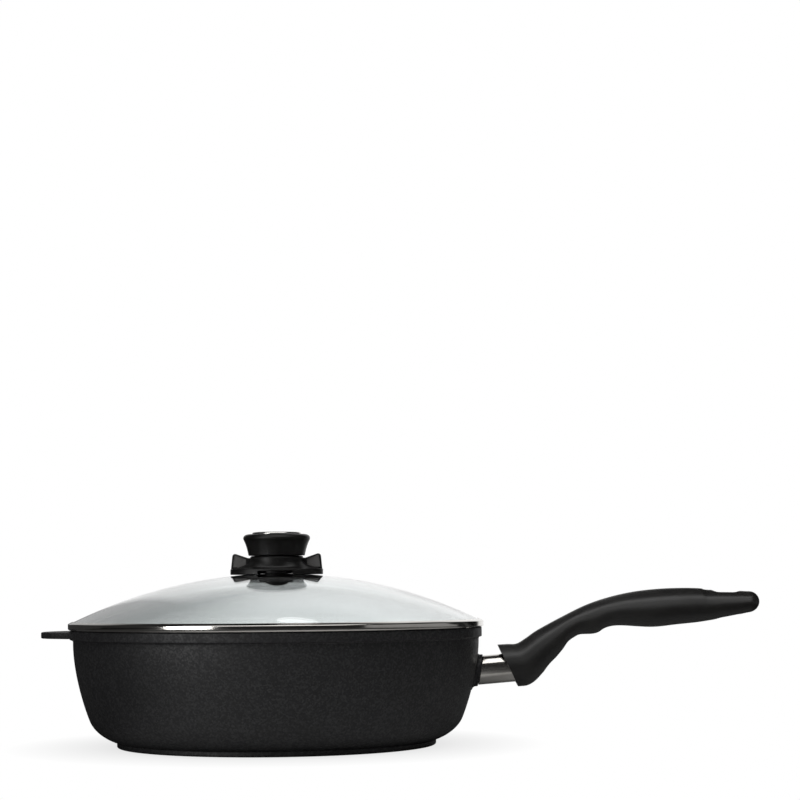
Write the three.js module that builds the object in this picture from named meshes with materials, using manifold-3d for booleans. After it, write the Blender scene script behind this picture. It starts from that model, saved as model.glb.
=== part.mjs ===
// Deep frying pan with a domed glass lid. A cast body carries a long curved handle on a
// boss and a small lug opposite; the lid has a rolled steel band and a knob with a collar
// that turns to open the steam vents. Millimetres, +Z up. The origin is on the pan's axis,
// on the face it stands on; +X points along the handle.

import * as THREE from 'three';
import { mergeVertices } from 'three/addons/utils/BufferGeometryUtils.js';
import Module from 'manifold-3d';

const wasm = await Module();
wasm.setup();

// Clearances
const FIT_GAP = 0.3; // between pieces that sit in one another
const SEAT_GAP = 0.15; // between flat faces that are stacked
const RUN_GAP = 0.3; // round the turning collar

// Pan body
const PAN_HEIGHT = 81.5; // table to rim
const RIM_RADIUS = 145; // outside of the rim collar
const RIM_HEIGHT = 6.5; // rim collar, bottom to top
const RIM_OVERHANG = 2.2; // rim collar beyond the wall
const RIM_UNDERCUT = 1.5; // rounded throat below the rim collar
const RIM_FILLET = 0.6; // rounding of the rim's edges
const WALL = 3.2; // wall thickness
const FLOOR = 6.5; // floor thickness
const WALL_LEAN = 11.8; // wall leans in this far between rim and knee
const CORNER_RUN = 18; // corner from knee to heel, inwards
const CORNER_RISE = 14.9; // corner from heel to knee, upwards
const KNEE_SLOPE = 68; // degrees from level where wall and corner meet
const HEEL_SLOPE = 18; // degrees from level where the corner meets the foot
const FOOT_HEIGHT = 4; // turned foot below the corner
const FOOT_STEP = 1; // foot stands back from the heel
const FOOT_FILLET = 1.2; // rounding of the foot's lower edge

// Helper lug, cast on the side away from the handle
const LUG_REACH = 21.2; // beyond the rim
const LUG_WIDTH = 92; // where it leaves the rim
const LUG_TIP_WIDTH = 62; // across the rounded end
const LUG_THICKNESS = 4.3;
const LUG_EDGE = 0.8; // rounding of its edges
const LUG_DROP = 1.1; // its top lies below the rim's top

// Handle mounting: boss, ferrule and screw share one axis, which rises away from the pan
const HANDLE_DROP = 30.6; // axis below the rim's top, at the boss face
const HANDLE_TILT = 4.5; // degrees
const BOSS_REACH = 3.3; // boss face beyond the wall
const BOSS_LEAN = 9.5; // degrees, boss face from upright, top outwards
const BOSS_MARGIN = 0.9; // boss round the ferrule
const SPIGOT_LENGTH = 10; // boss spigot inside the ferrule
const FERRULE_LENGTH = 29;
const FERRULE_WIDTH = 15.6;
const FERRULE_FLAT = 4.6; // flat side between its round edges
const FERRULE_WALL = 1;
const HANDLE_SCREW_RADIUS = 2.5;
const HANDLE_HEAD_RADIUS = 4.5;
const HANDLE_HEAD_HEIGHT = 3.2;
const FLAT_WASHER_RADIUS = 5;
const FLAT_WASHER_HEIGHT = 1;
const SPRING_WASHER_RADIUS = 4.4;
const SPRING_WASHER_HEIGHT = 1.3;
const SPRING_WASHER_CUT = 24; // degrees of ring left open
const SCREW_SEAT_WALL = 6; // grip between the ferrule's end and the screw's seat
const TAP_BOTTOM = 1; // tapped hole beyond the screw's end
const RECESS_ARM = 0.9; // width of a cross recess
const RECESS_DEPTH = 1.6;

// Handle grip
const SOCKET_DEPTH = 8.6; // ferrule inside the grip, on the axis
const SOCKET_ROOF = 6.75; // grip above the ferrule
const SOCKET_FLOOR = 3.55; // grip below the ferrule
const SOCKET_CHEEK = 4.5; // grip beside the ferrule
const FRONT_SETBACK = 11.9; // front face leans back this far from top to bottom
const GRIP_ELBOW_LENGTH = 75; // socket mouth to the end of the finger stop
const GRIP_HAND_LENGTH = 98.6; // finger stop to the rounded end
const GRIP_RISE = 22.75; // underside of the hand part above the axis
const GRIP_DEPTH = 23.35; // crown of the hand part above that
const GRIP_BROW = 13.5; // level top over the socket
const GRIP_BROW_DROP = 0.4;
const GRIP_NECK_WIDTH = 20;
const GRIP_HAND_WIDTH = 28;
const GRIP_END_ROUND = 8; // rounding beyond the hand part
const GRIP_SQUARENESS = 2.1; // section exponent, 2 is an ellipse
const HANG_HOLE_WIDTH = 8;
const HANG_HOLE_RUN = 10; // between its round ends
const HANG_HOLE_WALL = 6.5; // grip beside the hanging hole
const HANG_HOLE_END = 6; // grip between the hole and the rounded end

// Lid
const LID_OVERHANG = 1.4; // band beyond the pan's rim
const BAND_SHEET = 0.5;
const BAND_ROUND = 1.4; // outer lower bend of the band
const BAND_SIDE_GAP = 1; // cement between band and glass edge
const BAND_UNDER_GAP = 0.65; // cement below the glass edge
const LIP_GAP = 0.2; // cement below the lip
const LIP_COVER = 1.6; // lip over the glass
const SKIRT_DEPTH = 4.6; // band's inner skirt below the rim's top
const SKIRT_GAP = 1; // skirt to the pan's mouth
const GLASS = 4; // glass thickness
const DOME_RADIUS = 325; // outside of the dome
const GLASS_HOLE_RADIUS = 6;

// Knob, from the glass upwards
const HUB_GASKET_HEIGHT = 0.5;
const GASKET_MARGIN = 2; // gasket bores beyond the glass hole
const HUB_RADIUS = 13;
const HUB_HEIGHT = 11.85;
const HUB_FLANGE = 3; // beyond the hub's barrel
const HUB_FLANGE_HEIGHT = 3;
const HUB_WALL = 2.5;
const HUB_ROOF = 4.75; // above the steam chamber
const STEAM_PORT_WIDTH = 14;
const STEAM_PORT_HEIGHT = 1.8;
const COLLAR_DROP = 0.75; // rim of the collar below the top of the dome
const COLLAR_WALL = 5.6; // round the hub's barrel
const COLLAR_FLARE = 6.6; // height of the hollow flare
const FLARE_BEND = 2.2; // power of its curve
const COLLAR_EDGE = 4; // height of the flange's edge
const COLLAR_SKIRT = 6.7; // flange round the hub's flange
const SOFT_EDGE = 0.6; // rounding of collar and knob edges
const FIN_REACH = 14; // beyond the collar
const FIN_STEP = 1.3; // fin's root below the collar's top
const FIN_RISE = 3.7; // fin's outer corner above its root
const FIN_THICKNESS = 5;
const FIN_LEAN = 1.7; // fin's outer edge leans in towards the top
const FIN_CORNER = 2; // rounding of its outer corner
const FIN_BORDER = 2.2; // raised border round the fin's panel
const FIN_PANEL_DEPTH = 0.8;
const VENT_WIDTH = 24.6;
const VENT_HEIGHT = 2.6;
const KNOB_HEIGHT = 15.2;
const KNOB_RADIUS = 23.8; // widest, near the top
const KNOB_WAIST = 20.1;
const KNOB_EDGE_HEIGHT = 4.3; // rounded shoulder below the top
const KNOB_FLARE = 4; // hollow flare below the shoulder
const KNOB_LIP = 0.5; // the flare ends this far inside the widest
const KNOB_CEILING = 3.3; // grip between insert and cap disc
const CAP_MARGIN = 6.4; // grip round the cap disc
const CAP_SHELF = 2; // flat part of that
const CAP_PROUD = 1.8; // cap disc above the grip
const CAP_RECESS = 1.3; // grip's recess for the disc
const CAP_CROWN = 0.4; // rise of the disc's top
const CAP_FILLET = 0.7;
const INSERT_RADIUS = 4.5;

// Knob fixing below the glass
const LOWER_GASKET_RADIUS = 12.2;
const LOWER_GASKET_HEIGHT = 0.6;
const GASKET_NOTCH_WIDTH = 4;
const GASKET_NOTCH_HEIGHT = 0.3;
const LOWER_WASHER_RADIUS = 8.6;
const LOWER_WASHER_HEIGHT = 0.5;
const KNOB_SCREW_RADIUS = 2.5;
const KNOB_HEAD_RADIUS = 8;
const KNOB_HEAD_HEIGHT = 2.2;

// Faceting of round pieces
const WIDE_STEPS = 48;
const KNOB_STEPS = 32;
const SMALL_STEPS = 20;
const WALL_STEPS = 5; // for each of the wall's two curves
const DOME_STEPS = 7;
const EDGE_STEPS = 4; // round the edge of the glass
const FILLET_STEPS = 2; // for small rounded edges
const CURVE_STEPS = 5; // for the curves of collar, knob, cap and screw heads
const OVAL_STEPS = 8; // for each half circle of an oval
const GRIP_STATIONS = 40;
const GRIP_SIDES = 18;
const END_RINGS = 4;
const END_TURN = 86; // degrees of the grip's rounded end, which closes in a small flat
const OUTSIDE = 20; // how far a cutting tool runs past the piece it cuts

const radians = THREE.MathUtils.degToRad;
const at = (x, y) => new THREE.Vector2(x, y);

// Geometry to solid and back

function solid(geometry) {
  const bare = geometry.clone();
  bare.deleteAttribute('normal');
  bare.deleteAttribute('uv');
  const merged = mergeVertices(bare, 1e-4);
  const triVerts = [];
  for (let i = 0; i < merged.index.count; i += 3) {
    const [a, b, c] = [0, 1, 2].map((k) => merged.index.getX(i + k));
    if (a !== b && b !== c && c !== a) triVerts.push(a, b, c);
  }
  const mesh = new wasm.Mesh({
    numProp: 3,
    vertProperties: new Float32Array(merged.attributes.position.array),
    triVerts: new Uint32Array(triVerts),
  });
  return new wasm.Manifold(mesh);
}

function geometryOf(body) {
  const mesh = body.getMesh();
  const geometry = new THREE.BufferGeometry();
  geometry.setAttribute('position', new THREE.BufferAttribute(mesh.vertProperties, 3));
  geometry.setIndex(new THREE.BufferAttribute(mesh.triVerts, 1));
  geometry.computeVertexNormals();
  return geometry;
}

function joined(...geometries) {
  return geometryOf(geometries.map(solid).reduce((all, next) => all.add(next)));
}

function cut(geometry, ...tools) {
  return geometryOf(tools.map(solid).reduce((left, tool) => left.subtract(tool), solid(geometry)));
}

// Shapes turned on the Z axis, from a profile of radius and height that runs up its outside

function turned(points, steps) {
  return new THREE.LatheGeometry(points, steps).rotateX(Math.PI / 2);
}

function ring(inner, outer, bottom, top, steps) {
  const corners = [at(inner, bottom), at(outer, bottom), at(outer, top), at(inner, top)];
  return turned([...corners, corners[0]], steps);
}

function disc(radius, bottom, top, steps) {
  return turned([at(0, bottom), at(radius, bottom), at(radius, top), at(0, top)], steps);
}

function block(width, depth, height, x, y, z) {
  return new THREE.BoxGeometry(width, depth, height).translate(x, y, z);
}

function extruded(shape, depth, steps = OVAL_STEPS) {
  return new THREE.ExtrudeGeometry(shape, { depth, bevelEnabled: false, curveSegments: steps });
}

// An oval of two half circles with a straight run between them
function stadium(width, run) {
  const shape = new THREE.Shape();
  shape.absarc(run / 2, 0, width / 2, -Math.PI / 2, Math.PI / 2);
  shape.absarc(-run / 2, 0, width / 2, Math.PI / 2, (3 * Math.PI) / 2);
  return shape;
}

// The ferrule's upright oval at another width, extruded along +X from one place to another
function ovalBar(width, from, to) {
  return extruded(stadium(width, FERRULE_FLAT), to - from).rotateY(Math.PI / 2).translate(from, 0, 0);
}

function roundBar(radius, from, to) {
  return disc(radius, from, to, SMALL_STEPS).rotateY(Math.PI / 2);
}

// A skin over closed rings of points that follow one another, closed at both ends
function loft(rings) {
  const sides = rings[0].length;
  const points = rings.flat();
  const triangles = [];
  for (let r = 0; r + 1 < rings.length; r += 1) {
    for (let s = 0; s < sides; s += 1) {
      const a = r * sides + s;
      const b = r * sides + ((s + 1) % sides);
      triangles.push(a, b, b + sides, a, b + sides, a + sides);
    }
  }
  const centre = (list) => list.reduce((sum, p) => sum.add(p), new THREE.Vector3()).divideScalar(sides);
  const first = points.push(centre(rings[0])) - 1;
  const last = points.push(centre(rings[rings.length - 1])) - 1;
  const lastRing = (rings.length - 1) * sides;
  for (let s = 0; s < sides; s += 1) {
    const next = (s + 1) % sides;
    triangles.push(first, next, s, last, lastRing + s, lastRing + next);
  }
  const geometry = new THREE.BufferGeometry().setFromPoints(points);
  geometry.setIndex(triangles);
  return geometry;
}

function crossRecess(top, headRadius) {
  const arms = [block(headRadius, RECESS_ARM, RECESS_DEPTH, 0, 0, 0)];
  arms.push(block(RECESS_ARM, headRadius, RECESS_DEPTH, 0, 0, 0));
  return joined(...arms).translate(0, 0, top - RECESS_DEPTH / 2 + FIT_GAP);
}

// Pan body: outside and inside both follow one wall curve

const wallTop = at(RIM_RADIUS - RIM_OVERHANG, PAN_HEIGHT - RIM_HEIGHT - RIM_UNDERCUT);
const knee = at(wallTop.x - WALL_LEAN, FOOT_HEIGHT + CORNER_RISE);
const heel = at(knee.x - CORNER_RUN, FOOT_HEIGHT);
const footRadius = heel.x - FOOT_STEP;
const mouthRadius = wallTop.x - WALL;
const rimBottom = PAN_HEIGHT - RIM_HEIGHT;

function wallCurve() {
  const pull = 1 / 3;
  const kneePull = 1 / 4;
  const slope = (degrees) => at(Math.cos(radians(degrees)), Math.sin(radians(degrees)));
  const corner = heel.distanceTo(knee);
  const height = knee.distanceTo(wallTop);
  const fromHeel = slope(HEEL_SLOPE).multiplyScalar(corner * pull).add(heel);
  const toKnee = slope(KNEE_SLOPE).multiplyScalar(-corner * pull).add(knee);
  const fromKnee = slope(KNEE_SLOPE).multiplyScalar(height * kneePull).add(knee);
  const toTop = at(wallTop.x, wallTop.y - height * pull);
  const curve = new THREE.CurvePath();
  curve.add(new THREE.CubicBezierCurve(heel, fromHeel, toKnee, knee));
  curve.add(new THREE.CubicBezierCurve(knee, fromKnee, toTop, wallTop));
  return curve;
}

const wall = wallCurve();

function wallRadiusAt(height) {
  const points = wall.getPoints(SMALL_STEPS);
  const upper = points.findIndex((p) => p.y >= height);
  const [low, high] = [points[upper - 1], points[upper]];
  return THREE.MathUtils.mapLinear(height, low.y, high.y, low.x, high.x);
}

function panOutside() {
  const foot = new THREE.Path().moveTo(0, 0);
  foot.lineTo(footRadius - FOOT_FILLET, 0);
  foot.quadraticCurveTo(footRadius, 0, footRadius, FOOT_FILLET);
  foot.lineTo(footRadius, FOOT_HEIGHT - FOOT_STEP);
  foot.quadraticCurveTo(footRadius, FOOT_HEIGHT, heel.x, heel.y);
  const rim = new THREE.Path().moveTo(wallTop.x, wallTop.y);
  rim.quadraticCurveTo(wallTop.x, rimBottom, wallTop.x + RIM_UNDERCUT, rimBottom);
  rim.lineTo(RIM_RADIUS - RIM_FILLET, rimBottom);
  rim.quadraticCurveTo(RIM_RADIUS, rimBottom, RIM_RADIUS, rimBottom + RIM_FILLET);
  rim.lineTo(RIM_RADIUS, PAN_HEIGHT - RIM_FILLET);
  rim.quadraticCurveTo(RIM_RADIUS, PAN_HEIGHT, RIM_RADIUS - RIM_FILLET, PAN_HEIGHT);
  rim.lineTo(0, PAN_HEIGHT);
  const low = foot.getPoints(FILLET_STEPS);
  const high = rim.getPoints(FILLET_STEPS);
  return [...low, ...wall.getPoints(WALL_STEPS).slice(1), ...high.slice(1)];
}

function panInside() {
  const inner = [];
  const steps = 2 * WALL_STEPS;
  for (let i = 0; i <= steps; i += 1) {
    const tangent = wall.getTangentAt(i / steps);
    const point = wall.getPointAt(i / steps).add(at(-tangent.y, tangent.x).multiplyScalar(WALL));
    if (point.y > FLOOR + FIT_GAP) inner.push(point);
  }
  const floorEdge = at(inner[0].x - WALL, FLOOR);
  const above = PAN_HEIGHT + OUTSIDE;
  const mouth = new THREE.Path().moveTo(mouthRadius, PAN_HEIGHT - RIM_FILLET);
  mouth.quadraticCurveTo(mouthRadius, PAN_HEIGHT, mouthRadius + RIM_FILLET, PAN_HEIGHT);
  mouth.lineTo(mouthRadius + RIM_FILLET, above);
  mouth.lineTo(0, above);
  return [at(0, FLOOR), floorEdge, ...inner, ...mouth.getPoints(FILLET_STEPS)];
}

function lug() {
  const halfRoot = LUG_WIDTH / 2;
  const halfTip = LUG_TIP_WIDTH / 2;
  const root = Math.sqrt((RIM_RADIUS - RIM_FILLET) ** 2 - halfRoot ** 2);
  const tip = RIM_RADIUS + LUG_REACH;
  const shape = new THREE.Shape().moveTo(-root, -halfRoot);
  shape.lineTo(-root, halfRoot);
  shape.bezierCurveTo(-root - LUG_REACH / 2, halfRoot - LUG_REACH / 2, -tip, halfTip, -tip, 0);
  shape.bezierCurveTo(-tip, -halfTip, -root - LUG_REACH / 2, LUG_REACH / 2 - halfRoot, -root, -halfRoot);
  const plate = new THREE.ExtrudeGeometry(shape, {
    depth: LUG_THICKNESS - 2 * LUG_EDGE,
    bevelThickness: LUG_EDGE,
    bevelSize: LUG_EDGE,
    bevelOffset: -LUG_EDGE,
    bevelSegments: FILLET_STEPS,
    curveSegments: OVAL_STEPS,
  });
  return plate.translate(0, 0, PAN_HEIGHT - LUG_DROP - LUG_THICKNESS + LUG_EDGE);
}

// Handle mounting, in a frame whose +X runs along the screw, from the boss face outwards

const handleHeight = PAN_HEIGHT - HANDLE_DROP;
const bossX = wallRadiusAt(handleHeight) + BOSS_REACH;
const handle = new THREE.Group();
handle.position.set(bossX, 0, handleHeight);
handle.rotation.y = -radians(HANDLE_TILT);
handle.updateMatrix();

const screwSeat = FERRULE_LENGTH + FIT_GAP + SCREW_SEAT_WALL;
const springSeat = screwSeat + SEAT_GAP + FLAT_WASHER_HEIGHT;
const headSeat = springSeat + SEAT_GAP + SPRING_WASHER_HEIGHT + SEAT_GAP;
const tapEnd = -BOSS_REACH;
const handleScrewBore = HANDLE_SCREW_RADIUS + FIT_GAP;
const ferruleHeight = FERRULE_WIDTH + FERRULE_FLAT;
const ferruleBore = FERRULE_WIDTH - 2 * FERRULE_WALL;

// A block that fills one side of the leaning boss face, for trimming
function besideBossFace(side, offset) {
  const size = 4 * ferruleHeight;
  const lean = radians(HANDLE_TILT + BOSS_LEAN);
  return block(size, size, size, (side * size) / 2 + offset, 0, 0).rotateY(lean);
}

function boss() {
  const pad = ovalBar(FERRULE_WIDTH + 2 * BOSS_MARGIN, -BOSS_REACH - 2 * WALL, ferruleHeight);
  const spigot = ovalBar(ferruleBore - 2 * FIT_GAP, -BOSS_REACH, SPIGOT_LENGTH);
  return joined(cut(pad, besideBossFace(1, 0)), spigot);
}

function panBody() {
  const cast = joined(turned(panOutside(), WIDE_STEPS), lug(), boss().applyMatrix4(handle.matrix));
  const cavity = turned(panInside(), WIDE_STEPS);
  const tapped = roundBar(handleScrewBore, tapEnd, SPIGOT_LENGTH + OUTSIDE);
  return cut(cast, cavity, tapped.applyMatrix4(handle.matrix));
}

function ferrule() {
  const tube = ovalBar(FERRULE_WIDTH, -ferruleHeight, FERRULE_LENGTH);
  const bore = ovalBar(ferruleBore, -2 * ferruleHeight, 2 * FERRULE_LENGTH);
  return cut(tube, bore, besideBossFace(-1, FIT_GAP));
}

function flatWasher() {
  return ring(handleScrewBore, FLAT_WASHER_RADIUS, 0, FLAT_WASHER_HEIGHT, SMALL_STEPS)
    .rotateY(Math.PI / 2)
    .translate(screwSeat + SEAT_GAP, 0, 0);
}

function springWasher() {
  const open = radians(SPRING_WASHER_CUT) / 2;
  const shape = new THREE.Shape();
  shape.absarc(0, 0, SPRING_WASHER_RADIUS, open, 2 * Math.PI - open);
  shape.absarc(0, 0, handleScrewBore, 2 * Math.PI - open, open, true);
  return extruded(shape, SPRING_WASHER_HEIGHT, SMALL_STEPS)
    .rotateY(Math.PI / 2)
    .translate(springSeat + SEAT_GAP, 0, 0);
}

function domeHeadScrew(length, radius, headRadius, headHeight) {
  const point = radius / 2;
  const profile = new THREE.Path().moveTo(0, -length);
  profile.lineTo(radius - point, -length);
  profile.lineTo(radius, point - length);
  profile.lineTo(radius, 0);
  profile.lineTo(headRadius, 0);
  profile.lineTo(headRadius, headHeight / 4);
  profile.quadraticCurveTo(headRadius / 2, headHeight, 0, headHeight);
  return cut(turned(profile.getPoints(CURVE_STEPS), SMALL_STEPS), crossRecess(headHeight, headRadius));
}

function handleScrew() {
  const length = headSeat - tapEnd - TAP_BOTTOM;
  return domeHeadScrew(length, HANDLE_SCREW_RADIUS, HANDLE_HEAD_RADIUS, HANDLE_HEAD_HEIGHT)
    .rotateY(Math.PI / 2)
    .translate(headSeat, 0, 0);
}

// Handle grip, in its own frame: X from the socket mouth on the screw axis, Y up from the axis

const socketTop = ferruleHeight / 2 + SOCKET_ROOF;
const socketBottom = -ferruleHeight / 2 - SOCKET_FLOOR;
const frontTilt = FRONT_SETBACK / (socketTop - socketBottom);
const frontTop = at(-socketTop * frontTilt, socketTop);
const frontBottom = at(-socketBottom * frontTilt, socketBottom);
const gripX = FERRULE_LENGTH - SOCKET_DEPTH;
const handEnd = GRIP_ELBOW_LENGTH + GRIP_HAND_LENGTH;
const lerp = THREE.MathUtils.lerp;

// A point over the elbow or the hand part: share of its length, then share of its height
const onElbow = (along, low, high, up) => at(along * GRIP_ELBOW_LENGTH, lerp(low, high, up));
const onHand = (along, up) => at(GRIP_ELBOW_LENGTH + along * GRIP_HAND_LENGTH, GRIP_RISE + up * GRIP_DEPTH);

// Crown of the grip: level over the socket, up the elbow, then the long arch of the hand part
const archPoints = [[0, 0.88], [0.18, 0.98], [0.36, 1], [0.53, 0.965], [0.66, 0.905]];
archPoints.push([0.7, 0.85], [0.83, 0.784], [1, 0.69]);
const arch = archPoints.map(([along, up]) => onHand(along, up));
const crownRise = [[0.18, 0.103], [0.3, 0.294], [0.54, 0.588], [0.775, 0.844]];
const crown = new THREE.SplineCurve([
  frontTop,
  at(frontTop.x + GRIP_BROW / 2, socketTop - GRIP_BROW_DROP / 2),
  at(frontTop.x + GRIP_BROW, socketTop - GRIP_BROW_DROP),
  ...crownRise.map(([along, up]) => onElbow(along, socketTop, arch[0].y, up)),
  ...arch,
]);

// Underside: heel of the socket, up the elbow, the finger stop, then the hollow of the hand part
const heelRise = [[0.147, 0], [0.205, 0.04], [0.267, 0.13], [0.39, 0.371], [0.515, 0.623], [0.577, 0.772]];
const fingerStop = [[0.64, 0.851], [0.697, 0.893], [0.81, 0.885], [0.87, 0.904], [0.928, 0.967]];
const hollow = [[0, 0], [0.08, -0.01], [0.29, -0.13], [0.47, -0.12], [0.64, -0.105]];
hollow.push([0.81, -0.043], [0.99, 0.05]);
const underside = new THREE.SplineCurve([
  frontBottom,
  ...[...heelRise, ...fingerStop].map(([along, up]) => onElbow(along, socketBottom, GRIP_RISE, up)),
  ...hollow.map(([along, up]) => onHand(along, up)),
]);

// Width along the grip: the socket's cheeks, a slim neck, the full hand, the end with its hole
const endWidth = HANG_HOLE_WIDTH + 2 * HANG_HOLE_WALL;
const widths = new THREE.SplineCurve([
  at(0, FERRULE_WIDTH + 2 * SOCKET_CHEEK),
  at(0.1, FERRULE_WIDTH + 2 * SOCKET_CHEEK),
  at(0.34, GRIP_NECK_WIDTH),
  at(0.62, GRIP_HAND_WIDTH),
  at(0.84, (GRIP_HAND_WIDTH + 2 * endWidth) / 3),
  at(1, endWidth),
]);

function widthAt(share) {
  const points = widths.getPoints(GRIP_STATIONS);
  const upper = Math.max(1, points.findIndex((p) => p.x >= share));
  const [low, high] = [points[upper - 1], points[upper]];
  return THREE.MathUtils.mapLinear(share, low.x, high.x, low.y, high.y);
}

// One section: a rounded oval between a crown point and an underside point
function gripSection(top, bottom, width, shift = at(0, 0), scale = 1) {
  const middle = top.clone().add(bottom).multiplyScalar(0.5).add(shift);
  const half = top.clone().sub(bottom).multiplyScalar(0.5 * scale);
  const rounded = (value) => Math.sign(value) * Math.abs(value) ** (2 / GRIP_SQUARENESS);
  const points = [];
  for (let i = 0; i < GRIP_SIDES; i += 1) {
    const turn = (2 * Math.PI * i) / GRIP_SIDES;
    const up = rounded(Math.sin(turn));
    const side = (rounded(Math.cos(turn)) * width * scale) / 2;
    points.push(new THREE.Vector3(middle.x + half.x * up, side, middle.y + half.y * up));
  }
  return points;
}

function grip() {
  const sections = [];
  for (let i = 0; i <= GRIP_STATIONS; i += 1) {
    const share = i / GRIP_STATIONS;
    sections.push(gripSection(crown.getPointAt(share), underside.getPointAt(share), widthAt(share)));
  }
  const top = crown.getPointAt(1);
  const bottom = underside.getPointAt(1);
  const outwards = crown.getTangentAt(1).add(underside.getTangentAt(1)).normalize();
  for (let i = 1; i <= END_RINGS; i += 1) {
    const turn = (radians(END_TURN) * i) / END_RINGS;
    const shift = outwards.clone().multiplyScalar(GRIP_END_ROUND * Math.sin(turn));
    sections.push(gripSection(top, bottom, endWidth, shift, Math.cos(turn)));
  }
  const body = loft(sections).translate(gripX, 0, 0);
  const socket = ovalBar(FERRULE_WIDTH + 2 * FIT_GAP, -OUTSIDE, FERRULE_LENGTH + FIT_GAP);
  const bore = roundBar(handleScrewBore, 0, screwSeat + OUTSIDE);
  const counterbore = roundBar(FLAT_WASHER_RADIUS + FIT_GAP, screwSeat, screwSeat + 2 * OUTSIDE);
  return cut(body, socket, bore, counterbore, hangHole());
}

function hangHole() {
  const length = HANG_HOLE_WIDTH + HANG_HOLE_RUN;
  const middle = gripX + handEnd - HANG_HOLE_END - length / 2;
  const height = GRIP_RISE + GRIP_DEPTH + 2 * OUTSIDE;
  return extruded(stadium(HANG_HOLE_WIDTH, HANG_HOLE_RUN), height).translate(middle, 0, -OUTSIDE);
}

// Lid, in a frame whose origin is on the pan's axis at the top of its rim

const bandRadius = RIM_RADIUS + LID_OVERHANG;
const bandBottom = FIT_GAP;
const flangeTop = bandBottom + BAND_SHEET;
const glassRadius = bandRadius - BAND_SHEET - BAND_SIDE_GAP;
const edgeRound = GLASS / 2;
const edgeCentre = at(glassRadius - edgeRound, flangeTop + BAND_UNDER_GAP + edgeRound);
const middleRadius = DOME_RADIUS - edgeRound;
const edgeAngle = Math.asin(edgeCentre.x / middleRadius);
const domeCentre = edgeCentre.y - middleRadius * Math.cos(edgeAngle);
const domeTop = domeCentre + DOME_RADIUS;
const domeHeight = (radius, sphere) => domeCentre + Math.sqrt(sphere ** 2 - radius ** 2);

function lidGlass() {
  const points = [];
  const outside = DOME_RADIUS;
  const inside = DOME_RADIUS - GLASS;
  const arc = (sphere, from, to, steps) => {
    for (let i = 0; i <= steps; i += 1) {
      const angle = lerp(from, to, i / steps);
      points.push(at(sphere * Math.sin(angle), domeCentre + sphere * Math.cos(angle)));
    }
  };
  arc(inside, Math.asin(GLASS_HOLE_RADIUS / inside), edgeAngle, DOME_STEPS);
  for (let i = 1; i < EDGE_STEPS; i += 1) {
    const angle = edgeAngle + Math.PI - (Math.PI * i) / EDGE_STEPS;
    points.push(at(edgeCentre.x + edgeRound * Math.sin(angle), edgeCentre.y + edgeRound * Math.cos(angle)));
  }
  arc(outside, edgeAngle, Math.asin(GLASS_HOLE_RADIUS / outside), DOME_STEPS);
  return turned([...points, points[0]], WIDE_STEPS);
}

function lidBand() {
  const skirtRadius = mouthRadius - SKIRT_GAP;
  const innerRound = BAND_ROUND - BAND_SHEET;
  const wallInside = bandRadius - BAND_SHEET;
  const lipRadius = glassRadius - LIP_COVER;
  const lipSlope = Math.tan(edgeAngle);
  const lipEdge = domeHeight(lipRadius, DOME_RADIUS) + LIP_GAP;
  const lipAt = (radius) => lipEdge - (radius - lipRadius) * lipSlope;
  const outline = new THREE.Path().moveTo(skirtRadius, -SKIRT_DEPTH);
  outline.lineTo(skirtRadius, bandBottom);
  outline.lineTo(bandRadius - BAND_ROUND, bandBottom);
  outline.quadraticCurveTo(bandRadius, bandBottom, bandRadius, bandBottom + BAND_ROUND);
  outline.lineTo(bandRadius, lipAt(bandRadius));
  outline.lineTo(wallInside, lipAt(wallInside) + BAND_SHEET);
  outline.lineTo(lipRadius, lipEdge + BAND_SHEET);
  outline.lineTo(lipRadius, lipEdge);
  outline.lineTo(wallInside, lipAt(wallInside));
  outline.lineTo(wallInside, flangeTop + innerRound);
  outline.quadraticCurveTo(wallInside, flangeTop, wallInside - innerRound, flangeTop);
  outline.lineTo(skirtRadius - BAND_SHEET, flangeTop);
  outline.lineTo(skirtRadius - BAND_SHEET, -SKIRT_DEPTH);
  outline.closePath();
  return turned(outline.getPoints(FILLET_STEPS), WIDE_STEPS);
}

// Knob heights, all counted up or down from the glass

const hubBase = domeTop + HUB_GASKET_HEIGHT + SEAT_GAP;
const hubTop = hubBase + HUB_HEIGHT;
const knobBase = hubTop + SEAT_GAP;
const knobTop = knobBase + KNOB_HEIGHT;
const collarBase = domeTop - COLLAR_DROP;
const collarTop = knobBase - RUN_GAP;
const capSeat = knobTop - CAP_RECESS;
const insertBase = knobBase + FIT_GAP;
const lowerGasketTop = domeHeight(LOWER_GASKET_RADIUS, DOME_RADIUS - GLASS) - SEAT_GAP;
const lowerWasherTop = lowerGasketTop - LOWER_GASKET_HEIGHT - SEAT_GAP;
const knobHeadSeat = lowerWasherTop - LOWER_WASHER_HEIGHT - SEAT_GAP;
const knobScrewBore = KNOB_SCREW_RADIUS + FIT_GAP;
const gasketBore = GLASS_HOLE_RADIUS + GASKET_MARGIN;
const hubFlangeRadius = HUB_RADIUS + HUB_FLANGE;
const collarRadius = HUB_RADIUS + RUN_GAP + COLLAR_WALL;
const flangeHalfWidth = hubFlangeRadius + RUN_GAP + COLLAR_SKIRT;
const finTip = collarRadius + FIN_REACH;
const insertLength = KNOB_HEIGHT - CAP_RECESS - KNOB_CEILING - 2 * FIT_GAP;
const capRadius = KNOB_RADIUS - CAP_MARGIN;

function hubGasket() {
  return ring(gasketBore, hubFlangeRadius - FIT_GAP, domeTop, domeTop + HUB_GASKET_HEIGHT, KNOB_STEPS);
}

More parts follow.
